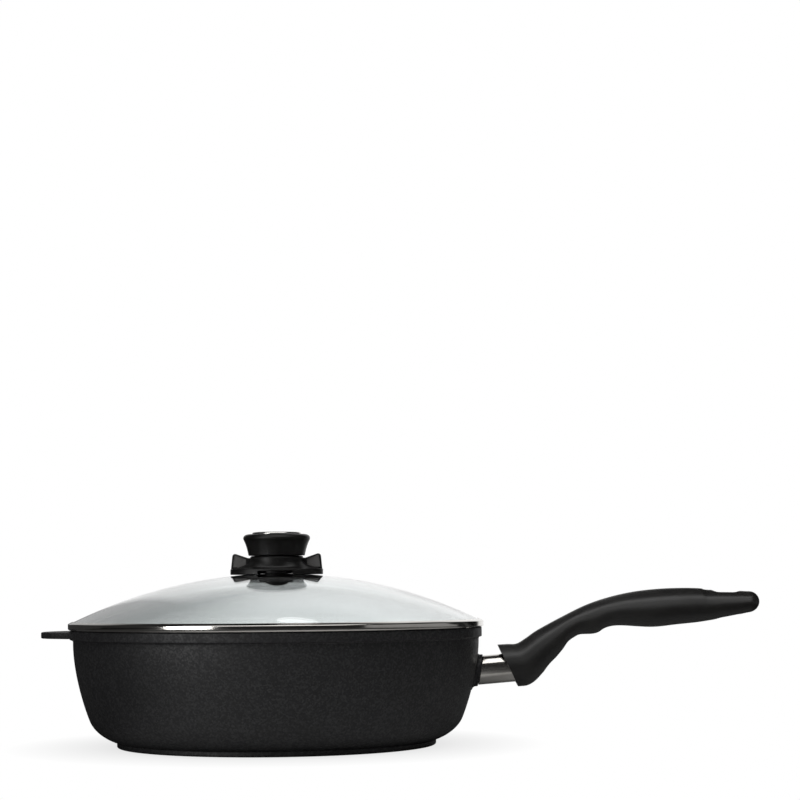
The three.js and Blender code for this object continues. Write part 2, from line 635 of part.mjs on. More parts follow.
// Its ports lie a quarter turn from the collar's vents, so the collar covers them until it is turned
function ventHub() {
  const chamber = HUB_RADIUS - HUB_WALL;
  const chamberTop = hubTop - HUB_ROOF;
  const outline = [
    at(chamber, hubBase),
    at(hubFlangeRadius, hubBase),
    at(hubFlangeRadius, hubBase + HUB_FLANGE_HEIGHT),
    at(HUB_RADIUS, hubBase + HUB_FLANGE_HEIGHT),
    at(HUB_RADIUS, hubTop),
    at(knobScrewBore, hubTop),
    at(knobScrewBore, chamberTop),
    at(chamber, chamberTop),
  ];
  const ports = block(4 * hubFlangeRadius, STEAM_PORT_WIDTH, 2 * STEAM_PORT_HEIGHT, 0, 0, hubBase);
  return cut(turned([...outline, outline[0]], KNOB_STEPS), ports);
}

// An oval ring of points at one height of the collar
function oval(halfLength, halfWidth, height) {
  const points = [];
  for (let i = 0; i < KNOB_STEPS; i += 1) {
    const turn = (2 * Math.PI * i) / KNOB_STEPS;
    points.push(new THREE.Vector3(halfLength * Math.cos(turn), halfWidth * Math.sin(turn), height));
  }
  return points;
}

function collarBody() {
  const edgeTop = collarBase + COLLAR_EDGE;
  const rings = [
    oval(finTip - SOFT_EDGE, flangeHalfWidth - SOFT_EDGE, collarBase),
    oval(finTip, flangeHalfWidth, collarBase + SOFT_EDGE),
    oval(finTip, flangeHalfWidth, edgeTop - SOFT_EDGE),
  ];
  for (let i = 0; i <= CURVE_STEPS; i += 1) {
    const rise = i / CURVE_STEPS;
    const spread = (1 - rise) ** FLARE_BEND;
    const length = lerp(collarRadius, finTip - SOFT_EDGE, spread);
    const width = lerp(collarRadius, flangeHalfWidth - SOFT_EDGE, spread);
    rings.push(oval(length, width, edgeTop + COLLAR_FLARE * rise));
  }
  rings.push(oval(collarRadius, collarRadius, collarTop));
  return loft(rings);
}

// One fin, standing on the flange along +X, with a sunk panel on each face. Its top is level
// below the knob and rises beyond it.
function fin() {
  const root = collarRadius - FIN_BORDER;
  const clear = Math.max(collarRadius, KNOB_WAIST) + RUN_GAP;
  const bottom = collarBase + SOFT_EDGE;
  const rootTop = collarTop - FIN_STEP;
  const outerTop = rootTop + FIN_RISE;
  const corner = at(finTip - FIN_LEAN, outerTop);
  const towards = (end) => end.clone().sub(corner).setLength(FIN_CORNER).add(corner);
  const beforeCorner = towards(at(finTip, bottom));
  const afterCorner = towards(at(clear, rootTop));
  const shape = new THREE.Shape([at(root, bottom), at(finTip, bottom), beforeCorner]);
  shape.quadraticCurveTo(corner.x, corner.y, afterCorner.x, afterCorner.y);
  shape.lineTo(clear, rootTop);
  shape.lineTo(root, rootTop);
  const plate = extruded(shape, FIN_THICKNESS, FILLET_STEPS);
  const panelBottom = collarBase + COLLAR_EDGE + FIN_BORDER;
  const panelCorners = [
    at(clear + FIN_BORDER, panelBottom),
    at(finTip - FIN_BORDER, panelBottom),
    at(finTip - FIN_LEAN - FIN_BORDER, outerTop - FIN_BORDER),
    at(clear + FIN_BORDER, rootTop - FIN_BORDER / 2),
  ];
  const panel = extruded(new THREE.Shape(panelCorners), OUTSIDE);
  const front = panel.clone().translate(0, 0, FIN_THICKNESS - FIN_PANEL_DEPTH);
  const back = panel.clone().translate(0, 0, FIN_PANEL_DEPTH - OUTSIDE);
  return cut(plate, front, back).translate(0, 0, -FIN_THICKNESS / 2).rotateX(Math.PI / 2);
}

// The dome with a running gap on it, which hollows the collar's underside
function domeClearance() {
  const reach = finTip + OUTSIDE;
  const sphere = DOME_RADIUS + RUN_GAP;
  const low = domeHeight(reach, sphere) - OUTSIDE;
  const outline = [at(0, low), at(reach, low)];
  for (let i = DOME_STEPS; i >= 0; i -= 1) {
    const radius = (reach * i) / DOME_STEPS;
    outline.push(at(radius, domeHeight(radius, sphere)));
  }
  return turned(outline, KNOB_STEPS);
}

function ventCollar() {
  const body = joined(collarBody(), fin(), fin().rotateZ(Math.PI));
  const bore = disc(HUB_RADIUS + RUN_GAP, 0, collarTop + OUTSIDE, KNOB_STEPS);
  const recess = disc(hubFlangeRadius + RUN_GAP, 0, hubBase + HUB_FLANGE_HEIGHT + RUN_GAP, KNOB_STEPS);
  const vents = block(VENT_WIDTH, 4 * flangeHalfWidth, 2 * VENT_HEIGHT, 0, 0, collarBase);
  return cut(body, bore, recess, vents, domeClearance());
}

function knobGrip() {
  const bore = INSERT_RADIUS + FIT_GAP;
  const boreTop = insertBase + insertLength + FIT_GAP;
  const edge = knobTop - KNOB_EDGE_HEIGHT;
  const outline = new THREE.Path().moveTo(0, boreTop);
  outline.lineTo(bore, boreTop);
  outline.lineTo(bore, knobBase);
  outline.lineTo(KNOB_WAIST - SOFT_EDGE, knobBase);
  outline.lineTo(KNOB_WAIST, knobBase + SOFT_EDGE);
  outline.quadraticCurveTo(KNOB_WAIST, edge - KNOB_FLARE, KNOB_RADIUS - KNOB_LIP, edge);
  const lipTop = edge + KNOB_EDGE_HEIGHT / 3;
  outline.bezierCurveTo(KNOB_RADIUS + KNOB_LIP, lipTop, KNOB_RADIUS, knobTop, capRadius + CAP_SHELF, knobTop);
  outline.lineTo(capRadius + FIT_GAP, knobTop);
  outline.lineTo(capRadius + FIT_GAP, capSeat);
  outline.lineTo(0, capSeat);
  return turned(outline.getPoints(CURVE_STEPS), KNOB_STEPS);
}

function knobCap() {
  const edgeTop = knobTop + CAP_PROUD - CAP_CROWN;
  const outline = new THREE.Path().moveTo(0, capSeat + SEAT_GAP);
  outline.lineTo(capRadius, capSeat + SEAT_GAP);
  outline.lineTo(capRadius, edgeTop - CAP_FILLET);
  outline.quadraticCurveTo(capRadius, edgeTop, capRadius - CAP_FILLET, edgeTop);
  outline.quadraticCurveTo(capRadius / 2, edgeTop + CAP_CROWN, 0, edgeTop + CAP_CROWN);
  return turned(outline.getPoints(CURVE_STEPS), KNOB_STEPS);
}

function knobInsert() {
  return ring(knobScrewBore, INSERT_RADIUS, insertBase, insertBase + insertLength, SMALL_STEPS);
}

function lowerGasket() {
  const bottom = lowerGasketTop - LOWER_GASKET_HEIGHT;
  const seal = ring(gasketBore, LOWER_GASKET_RADIUS, bottom, lowerGasketTop, SMALL_STEPS);
  const reach = 4 * LOWER_GASKET_RADIUS;
  const depth = 2 * GASKET_NOTCH_HEIGHT;
  const notches = joined(
    block(reach, GASKET_NOTCH_WIDTH, depth, 0, 0, bottom),
    block(GASKET_NOTCH_WIDTH, reach, depth, 0, 0, bottom),
  );
  return cut(seal, notches);
}

function lowerWasher() {
  const bottom = lowerWasherTop - LOWER_WASHER_HEIGHT;
  return ring(knobScrewBore, LOWER_WASHER_RADIUS, bottom, lowerWasherTop, SMALL_STEPS);
}

function knobScrew() {
  const length = insertBase + insertLength - knobHeadSeat - FIT_GAP;
  return domeHeadScrew(length, KNOB_SCREW_RADIUS, KNOB_HEAD_RADIUS, KNOB_HEAD_HEIGHT)
    .rotateX(Math.PI)
    .translate(0, 0, knobHeadSeat);
}

// Finishes

function finish(color, roughness, metalness) {
  return new THREE.MeshStandardMaterial({ color, roughness, metalness });
}

const coatedCasting = () => finish(0x232426, 0.6, 0.2);
const phenolic = () => finish(0x1b1a1a, 0.45, 0);
const stainless = () => finish(0xb9babb, 0.25, 1);
const blackenedSteel = () => finish(0x1c1c1d, 0.5, 0.6);
const zincedSteel = () => finish(0xa9abae, 0.4, 1);
const brass = () => finish(0xb08d4a, 0.4, 1);
const silicone = () => finish(0x1f1f20, 0.7, 0);

function clearGlass() {
  const glass = finish(0xdfe7e5, 0.03, 0);
  glass.transparent = true;
  glass.opacity = 0.35;
  return glass;
}

function piece(name, geometry, material) {
  const mesh = new THREE.Mesh(geometry, material);
  mesh.name = name;
  return mesh;
}

// Assembly

handle.add(
  piece('handle_ferrule', ferrule(), stainless()),
  piece('handle_grip', grip(), phenolic()),
  piece('handle_flat_washer', flatWasher(), zincedSteel()),
  piece('handle_spring_washer', springWasher(), zincedSteel()),
  piece('handle_screw', handleScrew(), zincedSteel()),
);

const lid = new THREE.Group();
lid.position.z = PAN_HEIGHT;
lid.add(
  piece('lid_glass', lidGlass(), clearGlass()),
  piece('lid_band', lidBand(), stainless()),
  piece('hub_gasket', hubGasket(), silicone()),
  piece('vent_hub', ventHub(), phenolic()),
  piece('vent_collar', ventCollar(), phenolic()),
  piece('knob_grip', knobGrip(), phenolic()),
  piece('knob_cap', knobCap(), stainless()),
  piece('knob_insert', knobInsert(), brass()),
  piece('lower_gasket', lowerGasket(), silicone()),
  piece('lower_washer', lowerWasher(), blackenedSteel()),
  piece('knob_screw', knobScrew(), blackenedSteel()),
);

const pan = new THREE.Group();
pan.add(piece('pan_body', panBody(), coatedCasting()), handle, lid);

export default pan;
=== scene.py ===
# %% [markdown]
# # A deep frying pan with a glass lid
# The pan is one casting with a dark speckled coating. A moulded handle is drawn against a boss
# by a screw that runs through a steel ferrule. The lid is a dome of tempered glass in a rolled
# steel band, with a knob whose collar turns to open the steam vents.
#
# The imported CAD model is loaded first, as a frame that is never moved. Its solids have few
# facets, so the pieces that show are made again here, smooth and with their finishes, in the
# same place and at the same size. Sizes are in millimetres and become metres in one function.

# %% Load the frame
from math import asin, cos, pi, radians, sin, sqrt, tan

import bmesh
import bpy
from mathutils import Matrix, Vector
from mathutils.geometry import interpolate_bezier


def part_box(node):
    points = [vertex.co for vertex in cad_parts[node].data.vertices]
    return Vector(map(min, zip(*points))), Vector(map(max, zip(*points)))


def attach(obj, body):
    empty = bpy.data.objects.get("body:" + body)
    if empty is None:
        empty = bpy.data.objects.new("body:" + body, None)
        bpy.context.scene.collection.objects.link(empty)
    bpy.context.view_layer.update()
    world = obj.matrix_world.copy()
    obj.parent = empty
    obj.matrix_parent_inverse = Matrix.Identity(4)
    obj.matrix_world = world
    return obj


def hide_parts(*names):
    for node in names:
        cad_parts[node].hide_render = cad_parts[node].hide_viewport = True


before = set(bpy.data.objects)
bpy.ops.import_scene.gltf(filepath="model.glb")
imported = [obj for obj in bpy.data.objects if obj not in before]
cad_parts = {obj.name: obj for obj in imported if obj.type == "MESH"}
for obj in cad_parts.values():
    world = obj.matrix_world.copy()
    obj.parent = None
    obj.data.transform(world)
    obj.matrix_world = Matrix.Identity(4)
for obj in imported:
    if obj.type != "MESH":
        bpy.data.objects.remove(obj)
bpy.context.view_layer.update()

MM = 0.001


def span(node):
    """Lowest and highest corner of a CAD node, in millimetres."""
    low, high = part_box(node)
    return low / MM, high / MM


# %% [markdown]
# ## Camera
# The photograph was taken from about the height of the lid with a long lens. Its place was
# fitted to the outlines of pan, lid and handle. The camera is pitched up a little and stands a
# hair out of level, so no lens shift is needed, and other views can reuse it.

# %% Camera
CAMERA_PLACE = Vector((88.6, -1484.6, 110.2))
CAMERA_PITCH = 5.12
CAMERA_ROLL = -0.498
IMAGE_WIDTH = 800
FOCAL_PIXELS = 2083
SENSOR_WIDTH = 36.0

camera_data = bpy.data.cameras.new("photo_camera")
camera_data.sensor_width = SENSOR_WIDTH
camera_data.lens = SENSOR_WIDTH * FOCAL_PIXELS / IMAGE_WIDTH
camera_data.clip_start = 0.01
camera_data.clip_end = 100.0
camera = bpy.data.objects.new("photo_camera", camera_data)
pitch = Matrix.Rotation(radians(90 + CAMERA_PITCH), 3, "X")
roll = Matrix.Rotation(radians(CAMERA_ROLL), 3, "Z")
camera.rotation_euler = (pitch @ roll).to_euler()
camera.location = CAMERA_PLACE * MM
bpy.context.scene.collection.objects.link(camera)
bpy.context.scene.camera = camera
bpy.context.scene.view_settings.view_transform = "Standard"
print("lens", round(camera_data.lens, 2), "mm")

# %% [markdown]
# ## Node helper and colours
# Every material and every Geometry Nodes tree below is built with one function that adds a
# node, sets its options and fills or links its inputs. Colours are written as the sRGB hex
# values that one would pick on a screen. Blender computes with linear light, so one function
# converts them.

# %% Node helper and colours
def add(tree, kind, inputs=None, **options):
    """Add a node, set its options, and set or link its inputs by name or number."""
    node = tree.nodes.new(kind)
    for name, value in options.items():
        setattr(node, name, value)
    for name, value in (inputs or {}).items():
        if isinstance(value, bpy.types.NodeSocket):
            tree.links.new(value, node.inputs[name])
        else:
            node.inputs[name].default_value = value
    return node


def linear(hex_colour):
    """An sRGB hex colour such as "1d1e20" as linear RGBA."""
    channels = [int(hex_colour[i:i + 2], 16) / 255 for i in (0, 2, 4)]
    curve = [c / 12.92 if c <= 0.04045 else ((c + 0.055) / 1.055) ** 2.4 for c in channels]
    return (*curve, 1.0)


def new_material(name):
    """An empty node material: itself, its tree and the object's own coordinates."""
    material = bpy.data.materials.new(name)
    material.use_nodes = True
    tree = material.node_tree
    tree.nodes.clear()
    return material, tree, add(tree, "ShaderNodeTexCoord").outputs["Object"]


def per_metre(millimetres):
    """The Scale of a noise whose cells are this wide."""
    return 1.0 / (millimetres * MM)


print("mid grey 808080 is", round(linear("808080")[0], 3), "in linear light")

# %% [markdown]
# ## Sprayed speckled coating
# The casting is blasted and sprayed with a dark non-stick coating. It dries to a fine pebbled
# skin, matte, with paler mineral flecks that catch the light. The flecks are really a few
# tenths of a millimetre wide. They are drawn at about one millimetre, because a pixel of the
# photograph covers 0.7 mm and finer flecks would vanish.

# %% Sprayed speckled coating
FLECK = 1.1
PEBBLE = 0.8
PEBBLE_DEPTH = 0.08
CLOUD = 18


def speckled_coating():
    material, tree, place = new_material("cast_aluminium_sprayed_coating")
    cells = add(tree, "ShaderNodeTexVoronoi", {"Vector": place, "Scale": per_metre(FLECK)})
    flecks = add(tree, "ShaderNodeSeparateColor", {"Color": cells.outputs["Color"]}).outputs["Red"]
    shade = add(tree, "ShaderNodeValToRGB", {"Fac": flecks})
    for stop, position, colour in zip(shade.color_ramp.elements, (0.35, 1.0), ("121214", "2e2e2f")):
        stop.position = position
        stop.color = linear(colour)
    patches = add(tree, "ShaderNodeTexNoise", {"Vector": place, "Scale": per_metre(CLOUD), "Detail": 2.0})
    clouds = add(tree, "ShaderNodeMapRange", {
        "Value": patches.outputs["Fac"], "From Min": 0.3, "From Max": 0.7, "To Min": 0.86, "To Max": 1.1})
    tint = add(tree, "ShaderNodeVectorMath", {
        0: shade.outputs["Color"], "Scale": clouds.outputs["Result"]}, operation="SCALE")
    gloss = add(tree, "ShaderNodeMapRange", {
        "Value": flecks, "From Min": 0.3, "From Max": 1.0, "To Min": 0.6, "To Max": 0.46})
    pebbles = add(tree, "ShaderNodeTexNoise", {"Vector": place, "Scale": per_metre(PEBBLE), "Detail": 2.0})
    bump = add(tree, "ShaderNodeBump", {
        "Height": pebbles.outputs["Fac"], "Distance": PEBBLE_DEPTH * MM, "Strength": 0.6})
    shader = add(tree, "ShaderNodeBsdfPrincipled", {
        "Base Color": tint.outputs[0], "Roughness": gloss.outputs["Result"],
        "Normal": bump.outputs["Normal"]})
    add(tree, "ShaderNodeOutputMaterial", {"Surface": shader.outputs[0]})
    return material


coating = speckled_coating()
print("made", coating.name)

# %% [markdown]
# ## Moulded phenolic
# Handle and knob are phenolic resin, pressed in a hot mould. It comes out black with a trace of brown, satin,
# and very slightly grained by the mould's surface, so highlights are soft and have no hard edge. The knob,
# its collar and the hub get a copy that is painted darker and shines less, a painted shade for the knob's
# waist. The panels in the finger tabs are etched and grained, and their pale grey is partly a painted
# highlight for the light the sunk panels catch. One function makes all three.

# %% Moulded phenolic
FLOW = 12
GRAIN = 0.5


def moulded_phenolic(name, dark, pale, grain_depth, smooth, rough, shine=0.5):
    material, tree, place = new_material(name)
    flow = add(tree, "ShaderNodeTexNoise", {"Vector": place, "Scale": per_metre(FLOW), "Detail": 3.0})
    shade = add(tree, "ShaderNodeValToRGB", {"Fac": flow.outputs["Fac"]})
    for stop, position, colour in zip(shade.color_ramp.elements, (0.35, 0.7), (dark, pale)):
        stop.position = position
        stop.color = linear(colour)
    gloss = add(tree, "ShaderNodeMapRange", {
        "Value": flow.outputs["Fac"], "From Min": 0.3, "From Max": 0.7, "To Min": smooth, "To Max": rough})
    grain = add(tree, "ShaderNodeTexNoise", {"Vector": place, "Scale": per_metre(GRAIN), "Detail": 2.0})
    bump = add(tree, "ShaderNodeBump", {
        "Height": grain.outputs["Fac"], "Distance": grain_depth * MM, "Strength": 0.5})
    shader = add(tree, "ShaderNodeBsdfPrincipled", {
        "Base Color": shade.outputs["Color"], "Roughness": gloss.outputs["Result"],
        "Normal": bump.outputs["Normal"], "IOR": 1.55, "Specular IOR Level": shine})
    add(tree, "ShaderNodeOutputMaterial", {"Surface": shader.outputs[0]})
    return material


phenolic = moulded_phenolic("phenolic_resin_moulded", "121110", "181715", 0.012, 0.42, 0.48)
# The panels' grey is etched grain and a painted highlight together.
grain_and_painted_highlight_phenolic = moulded_phenolic("phenolic_resin_moulded_grained_painted_highlight", "525150", "5f5e5d", 0.06, 0.66, 0.78)
# Painted shade: the knob's copy of the resin is darker and shines less than the handle's.
knob_phenolic_painted_shade = moulded_phenolic("phenolic_resin_moulded_knob_painted_shade", "0c0b0b", "11100f", 0.012, 0.4, 0.46, 0.3)
print("made", phenolic.name, grain_and_painted_highlight_phenolic.name, knob_phenolic_painted_shade.name)

# %% [markdown]
# ## Stainless steel
# Three pieces are stainless steel sheet. The lid's band is rolled and then polished round the
# rim, the disc in the knob is spun, and the ferrule is a drawn tube brushed along its length.
# The polishing lines are far finer than a pixel, so they are drawn a few tenths of a millimetre
# wide and shallow. One function stretches a noise along the direction of the work.

# %% Stainless steel
HANDLE_TILT = 4.5
POLISHING_LINE = 0.35
LINE_DEPTH = 0.004
SMEAR = 9


def worked_steel(name, colour, roughness, spread, turned):
    """Steel with polishing lines round the Z axis, or along the handle where turned is False."""
    material, tree, place = new_material(name)
    if turned:
        flat = add(tree, "ShaderNodeVectorMath", {0: place, 1: (1.0, 1.0, 0.0)}, operation="MULTIPLY")
        radius = add(tree, "ShaderNodeVectorMath", {0: flat.outputs[0]}, operation="LENGTH")
        height = add(tree, "ShaderNodeSeparateXYZ", {0: place}).outputs["Z"]
        lines = add(tree, "ShaderNodeCombineXYZ", {"X": radius.outputs["Value"], "Y": height})
    else:
        lines = add(tree, "ShaderNodeMapping", {
            "Vector": place, "Rotation": (0.0, radians(HANDLE_TILT), 0.0), "Scale": (0.02, 1.0, 1.0)})
    brush = add(tree, "ShaderNodeTexNoise", {
        "Vector": lines.outputs[0], "Scale": per_metre(POLISHING_LINE), "Detail": 3.0})
    gloss = add(tree, "ShaderNodeMapRange", {
        "Value": brush.outputs["Fac"], "From Min": 0.3, "From Max": 0.7,
        "To Min": roughness - spread, "To Max": roughness + spread})
    smears = add(tree, "ShaderNodeTexNoise", {"Vector": place, "Scale": per_metre(SMEAR), "Detail": 2.0})
    shade = add(tree, "ShaderNodeMix", {
        0: smears.outputs["Fac"], 6: linear(colour), 7: linear("d8d6d2")}, data_type="RGBA")
    bump = add(tree, "ShaderNodeBump", {
        "Height": brush.outputs["Fac"], "Distance": LINE_DEPTH * MM, "Strength": 0.3})
    shader = add(tree, "ShaderNodeBsdfPrincipled", {
        "Base Color": shade.outputs[2], "Roughness": gloss.outputs["Result"],
        "Normal": bump.outputs["Normal"], "Metallic": 1.0})
    add(tree, "ShaderNodeOutputMaterial", {"Surface": shader.outputs[0]})
    return material


band_steel = worked_steel("stainless_steel_rolled_polished", "c4c0ba", 0.11, 0.03, True)
disc_steel = worked_steel("stainless_steel_spun", "c9c8c6", 0.2, 0.05, True)
tube_steel = worked_steel("stainless_steel_drawn_brushed", "bdb9b2", 0.16, 0.05, False)
print("made", band_steel.name, disc_steel.name, tube_steel.name)

# %% [markdown]
# ## Tempered glass
# The dome is float glass, pressed hot over a form and tempered. It is clear with a trace of
# green that only shows at its edge, and its surface waves a little where it was pressed. Dried
# water leaves a faint film, so its roughness varies by a hair.

# %% Tempered glass
GLASS_WAVE = 60
WAVE_DEPTH = 0.25
FILM_PATCH = 14


def tempered_glass():
    material, tree, place = new_material("soda_lime_glass_pressed_tempered")
    waves = add(tree, "ShaderNodeTexNoise", {"Vector": place, "Scale": per_metre(GLASS_WAVE), "Detail": 1.0})
    bump = add(tree, "ShaderNodeBump", {
        "Height": waves.outputs["Fac"], "Distance": WAVE_DEPTH * MM, "Strength": 0.3})
    film = add(tree, "ShaderNodeTexNoise", {"Vector": place, "Scale": per_metre(FILM_PATCH), "Detail": 4.0})
    gloss = add(tree, "ShaderNodeMapRange", {
        "Value": film.outputs["Fac"], "From Min": 0.4, "From Max": 0.7, "To Min": 0.0, "To Max": 0.03})
    shader = add(tree, "ShaderNodeBsdfPrincipled", {
        "Base Color": linear("f7fbfb"), "Roughness": gloss.outputs["Result"],
        "Normal": bump.outputs["Normal"], "Transmission Weight": 1.0, "IOR": 1.5})
    add(tree, "ShaderNodeOutputMaterial", {"Surface": shader.outputs[0]})
    return material


glass = tempered_glass()
print("made", glass.name)

# %% [markdown]
# ## Small metals and rubber
# The hidden hardware has its own finishes: zinc plating shows faint spangles, blackened steel
# is oily and uneven, turned brass is warm, and silicone rubber is dull. They differ only in
# colours, gloss and the size of their mottling, so one function makes all four.

# %% Small metals and rubber
GLOSS_SPREAD = 0.06


def mottled(name, dark, pale, cell, metallic, rough):
    material, tree, place = new_material(name)
    mottle = add(tree, "ShaderNodeTexNoise", {"Vector": place, "Scale": per_metre(cell), "Detail": 3.0})
    shade = add(tree, "ShaderNodeMix", {
        0: mottle.outputs["Fac"], 6: linear(dark), 7: linear(pale)}, data_type="RGBA")
    gloss = add(tree, "ShaderNodeMapRange", {
        "Value": mottle.outputs["Fac"], "From Min": 0.3, "From Max": 0.7,
        "To Min": rough - GLOSS_SPREAD, "To Max": rough + GLOSS_SPREAD})
    shader = add(tree, "ShaderNodeBsdfPrincipled", {
        "Base Color": shade.outputs[2], "Roughness": gloss.outputs["Result"], "Metallic": metallic})
    add(tree, "ShaderNodeOutputMaterial", {"Surface": shader.outputs[0]})
    return material


zinc = mottled("steel_zinc_plated", "8f9296", "c3c6c9", 1.6, 1.0, 0.34)
black_steel = mottled("steel_oil_blackened", "0b0b0c", "171718", 2.2, 0.6, 0.42)
brass = mottled("brass_turned", "9c7636", "c9a75c", 1.2, 1.0, 0.3)
silicone = mottled("silicone_rubber_moulded", "0d0d0d", "161616", 1.0, 0.0, 0.62)
print("made", zinc.name, black_steel.name, brass.name, silicone.name)

# %% [markdown]
# ## From points to objects
# Shapes are worked out as lists of points in millimetres. These helpers turn them into mesh
# objects at the origin, skin a row of rings, and bake modifiers into the mesh.

# %% From points to objects
DOUBLED = 0.001


def mesh_object(name, points, faces=(), edges=()):
    mesh = bpy.data.meshes.new(name)
    mesh.from_pydata([Vector(p) * MM for p in points], edges, faces)
    thing = bpy.data.objects.new(name, mesh)
    bpy.context.scene.collection.objects.link(thing)
    return thing


def bake(thing):
    """Put the result of an object's modifiers into its mesh and remove them."""
    graph = bpy.context.evaluated_depsgraph_get()
    result = bpy.data.meshes.new_from_object(thing.evaluated_get(graph))
    thing.modifiers.clear()
    old, thing.data = thing.data, result
    bpy.data.meshes.remove(old)
    result.name = thing.name
    return thing


def closed_shell(thing):
    """Merge doubled points and turn all faces outwards."""
    shell = bmesh.new()
    shell.from_mesh(thing.data)
    bmesh.ops.remove_doubles(shell, verts=shell.verts, dist=DOUBLED * MM)
    bmesh.ops.recalc_face_normals(shell, faces=shell.faces)
    shell.to_mesh(thing.data)
    shell.free()
    return thing


def skin(name, rings, tube=False):
    """Skin rings of equally many points: capped at both ends, or joined end to start as a tube."""
    sides = len(rings[0])
    points = [p for ring in rings for p in ring]
    rows = len(rings) if tube else len(rings) - 1
    faces = []
    for row in range(rows):
        here, there = row * sides, ((row + 1) % len(rings)) * sides
        for side in range(sides):
            after = (side + 1) % sides
            faces.append((here + side, here + after, there + after, there + side))
    if not tube:
        faces.append(tuple(range(sides)))
        faces.append(tuple(range(len(points) - sides, len(points))))
    return closed_shell(mesh_object(name, points, faces))


print("points closer than", DOUBLED, "mm are merged")

# %% [markdown]
# Holes and added forms are made with boolean modifiers, as a mould's cores and hollows make them. Every piece
# then goes through one function that shades it, gives it its finish, hangs it on an empty for the body it
# rides on, and hides the CAD nodes it stands for.

# %% Joining and finishing
SMOOTH_ANGLE = 32


def combine(thing, operation, *others):
    """Cut other objects out of this one, or unite them with it, and delete them."""
    for other in others:
        change = thing.modifiers.new("combine", "BOOLEAN")
        change.operation = operation
        change.solver = "EXACT"
        change.object = other
        bake(thing)
        bpy.data.objects.remove(other)
    return thing


def finish(thing, material, body, slot, *nodes):
    """Shade, paint and place a piece that stands for CAD nodes of a body."""
    thing.data.shade_smooth()
    thing.data.set_sharp_from_angle(angle=radians(SMOOTH_ANGLE))
    thing.data.materials.clear()
    thing.data.materials.append(material)
    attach(thing, body)
    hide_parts(*nodes)
    sides = [[v.co[i] / MM for v in thing.data.vertices] for i in range(3)]
    size = [round(max(places) - min(places), 1) for places in sides]
    print(thing.name, "faces", len(thing.data.polygons), "size", size)
    return thing


print("edges over", SMOOTH_ANGLE, "degrees stay sharp")

# %% [markdown]
# ## Drawing outlines
# Most pieces are outlines of radius and height that are turned round an axis. An outline is a
# list of corners, each with the radius of its rounding, and one function replaces every rounded
# corner with an arc.

# %% Drawing outlines
ARC_STEPS = 6
QUARTER = [pi / 2 * i / ARC_STEPS for i in range(ARC_STEPS + 1)]


def outline(*corners):
    """Points of an outline whose corners are (across, up) or (across, up, rounding)."""
    points = []
    for i, corner in enumerate(corners):
        here = Vector(corner[:2])
        rounding = corner[2] if len(corner) > 2 else 0
        if not rounding:
            points.append(here)
            continue
        before = Vector(corners[i - 1][:2]) - here
        after = Vector(corners[(i + 1) % len(corners)][:2]) - here
        half = before.angle(after) / 2
        reach = rounding / tan(half)
        start = here + before.normalized() * reach
        end = here + after.normalized() * reach
        centre = here + (before.normalized() + after.normalized()).normalized() * rounding / sin(half)
        sweep = (start - centre).angle_signed(end - centre)
        for step in range(ARC_STEPS + 1):
            turn = Matrix.Rotation(-sweep * step / ARC_STEPS, 2)
            points.append(centre + turn @ (start - centre))
    return points


def bezier(start, start_pull, end_pull, end, steps):
    """Points of one cubic curve, the last one left out."""
    flat = [Vector((*p, 0)) for p in (start, start_pull, end_pull, end)]
    return [p.to_2d() for p in interpolate_bezier(*flat, steps + 1)][:-1]


print("a rounded corner has", ARC_STEPS + 1, "points")

# %% [markdown]
# ## Turning, as a Geometry Nodes tree
# A lathe makes a piece from one outline. Here a grid of points is rolled up: each column of the
# grid takes the outline's points and is turned a little further round the axis. The seam and the
# points on the axis are then merged, so the skin is closed. The outline runs up the outside of
# the piece, so that faces point outwards.

# %% Turning tree
LATHE_STEPS = 96
MERGE_DISTANCE = 0.0005


def shape_tree(name, output, **inputs):
    """An empty Geometry Nodes tree: itself and the sockets of its inputs, by name and kind."""
    tree = bpy.data.node_groups.new(name, "GeometryNodeTree")
    for socket, kind in inputs.items():
        tree.interface.new_socket(socket, in_out="INPUT", socket_type="NodeSocket" + kind)
    tree.interface.new_socket(output, in_out="OUTPUT", socket_type="NodeSocketGeometry")
    return tree, add(tree, "NodeGroupInput").outputs


def run_tree(thing, tree, **values):
    """Let a tree shape an object and put the result into its mesh."""
    maker = thing.modifiers.new(tree.name, "NODES")
    maker.node_group = tree
    sockets = {item.name: item.identifier for item in tree.interface.items_tree}
    for name, value in values.items():
        maker[sockets[name]] = value
    return closed_shell(bake(thing))


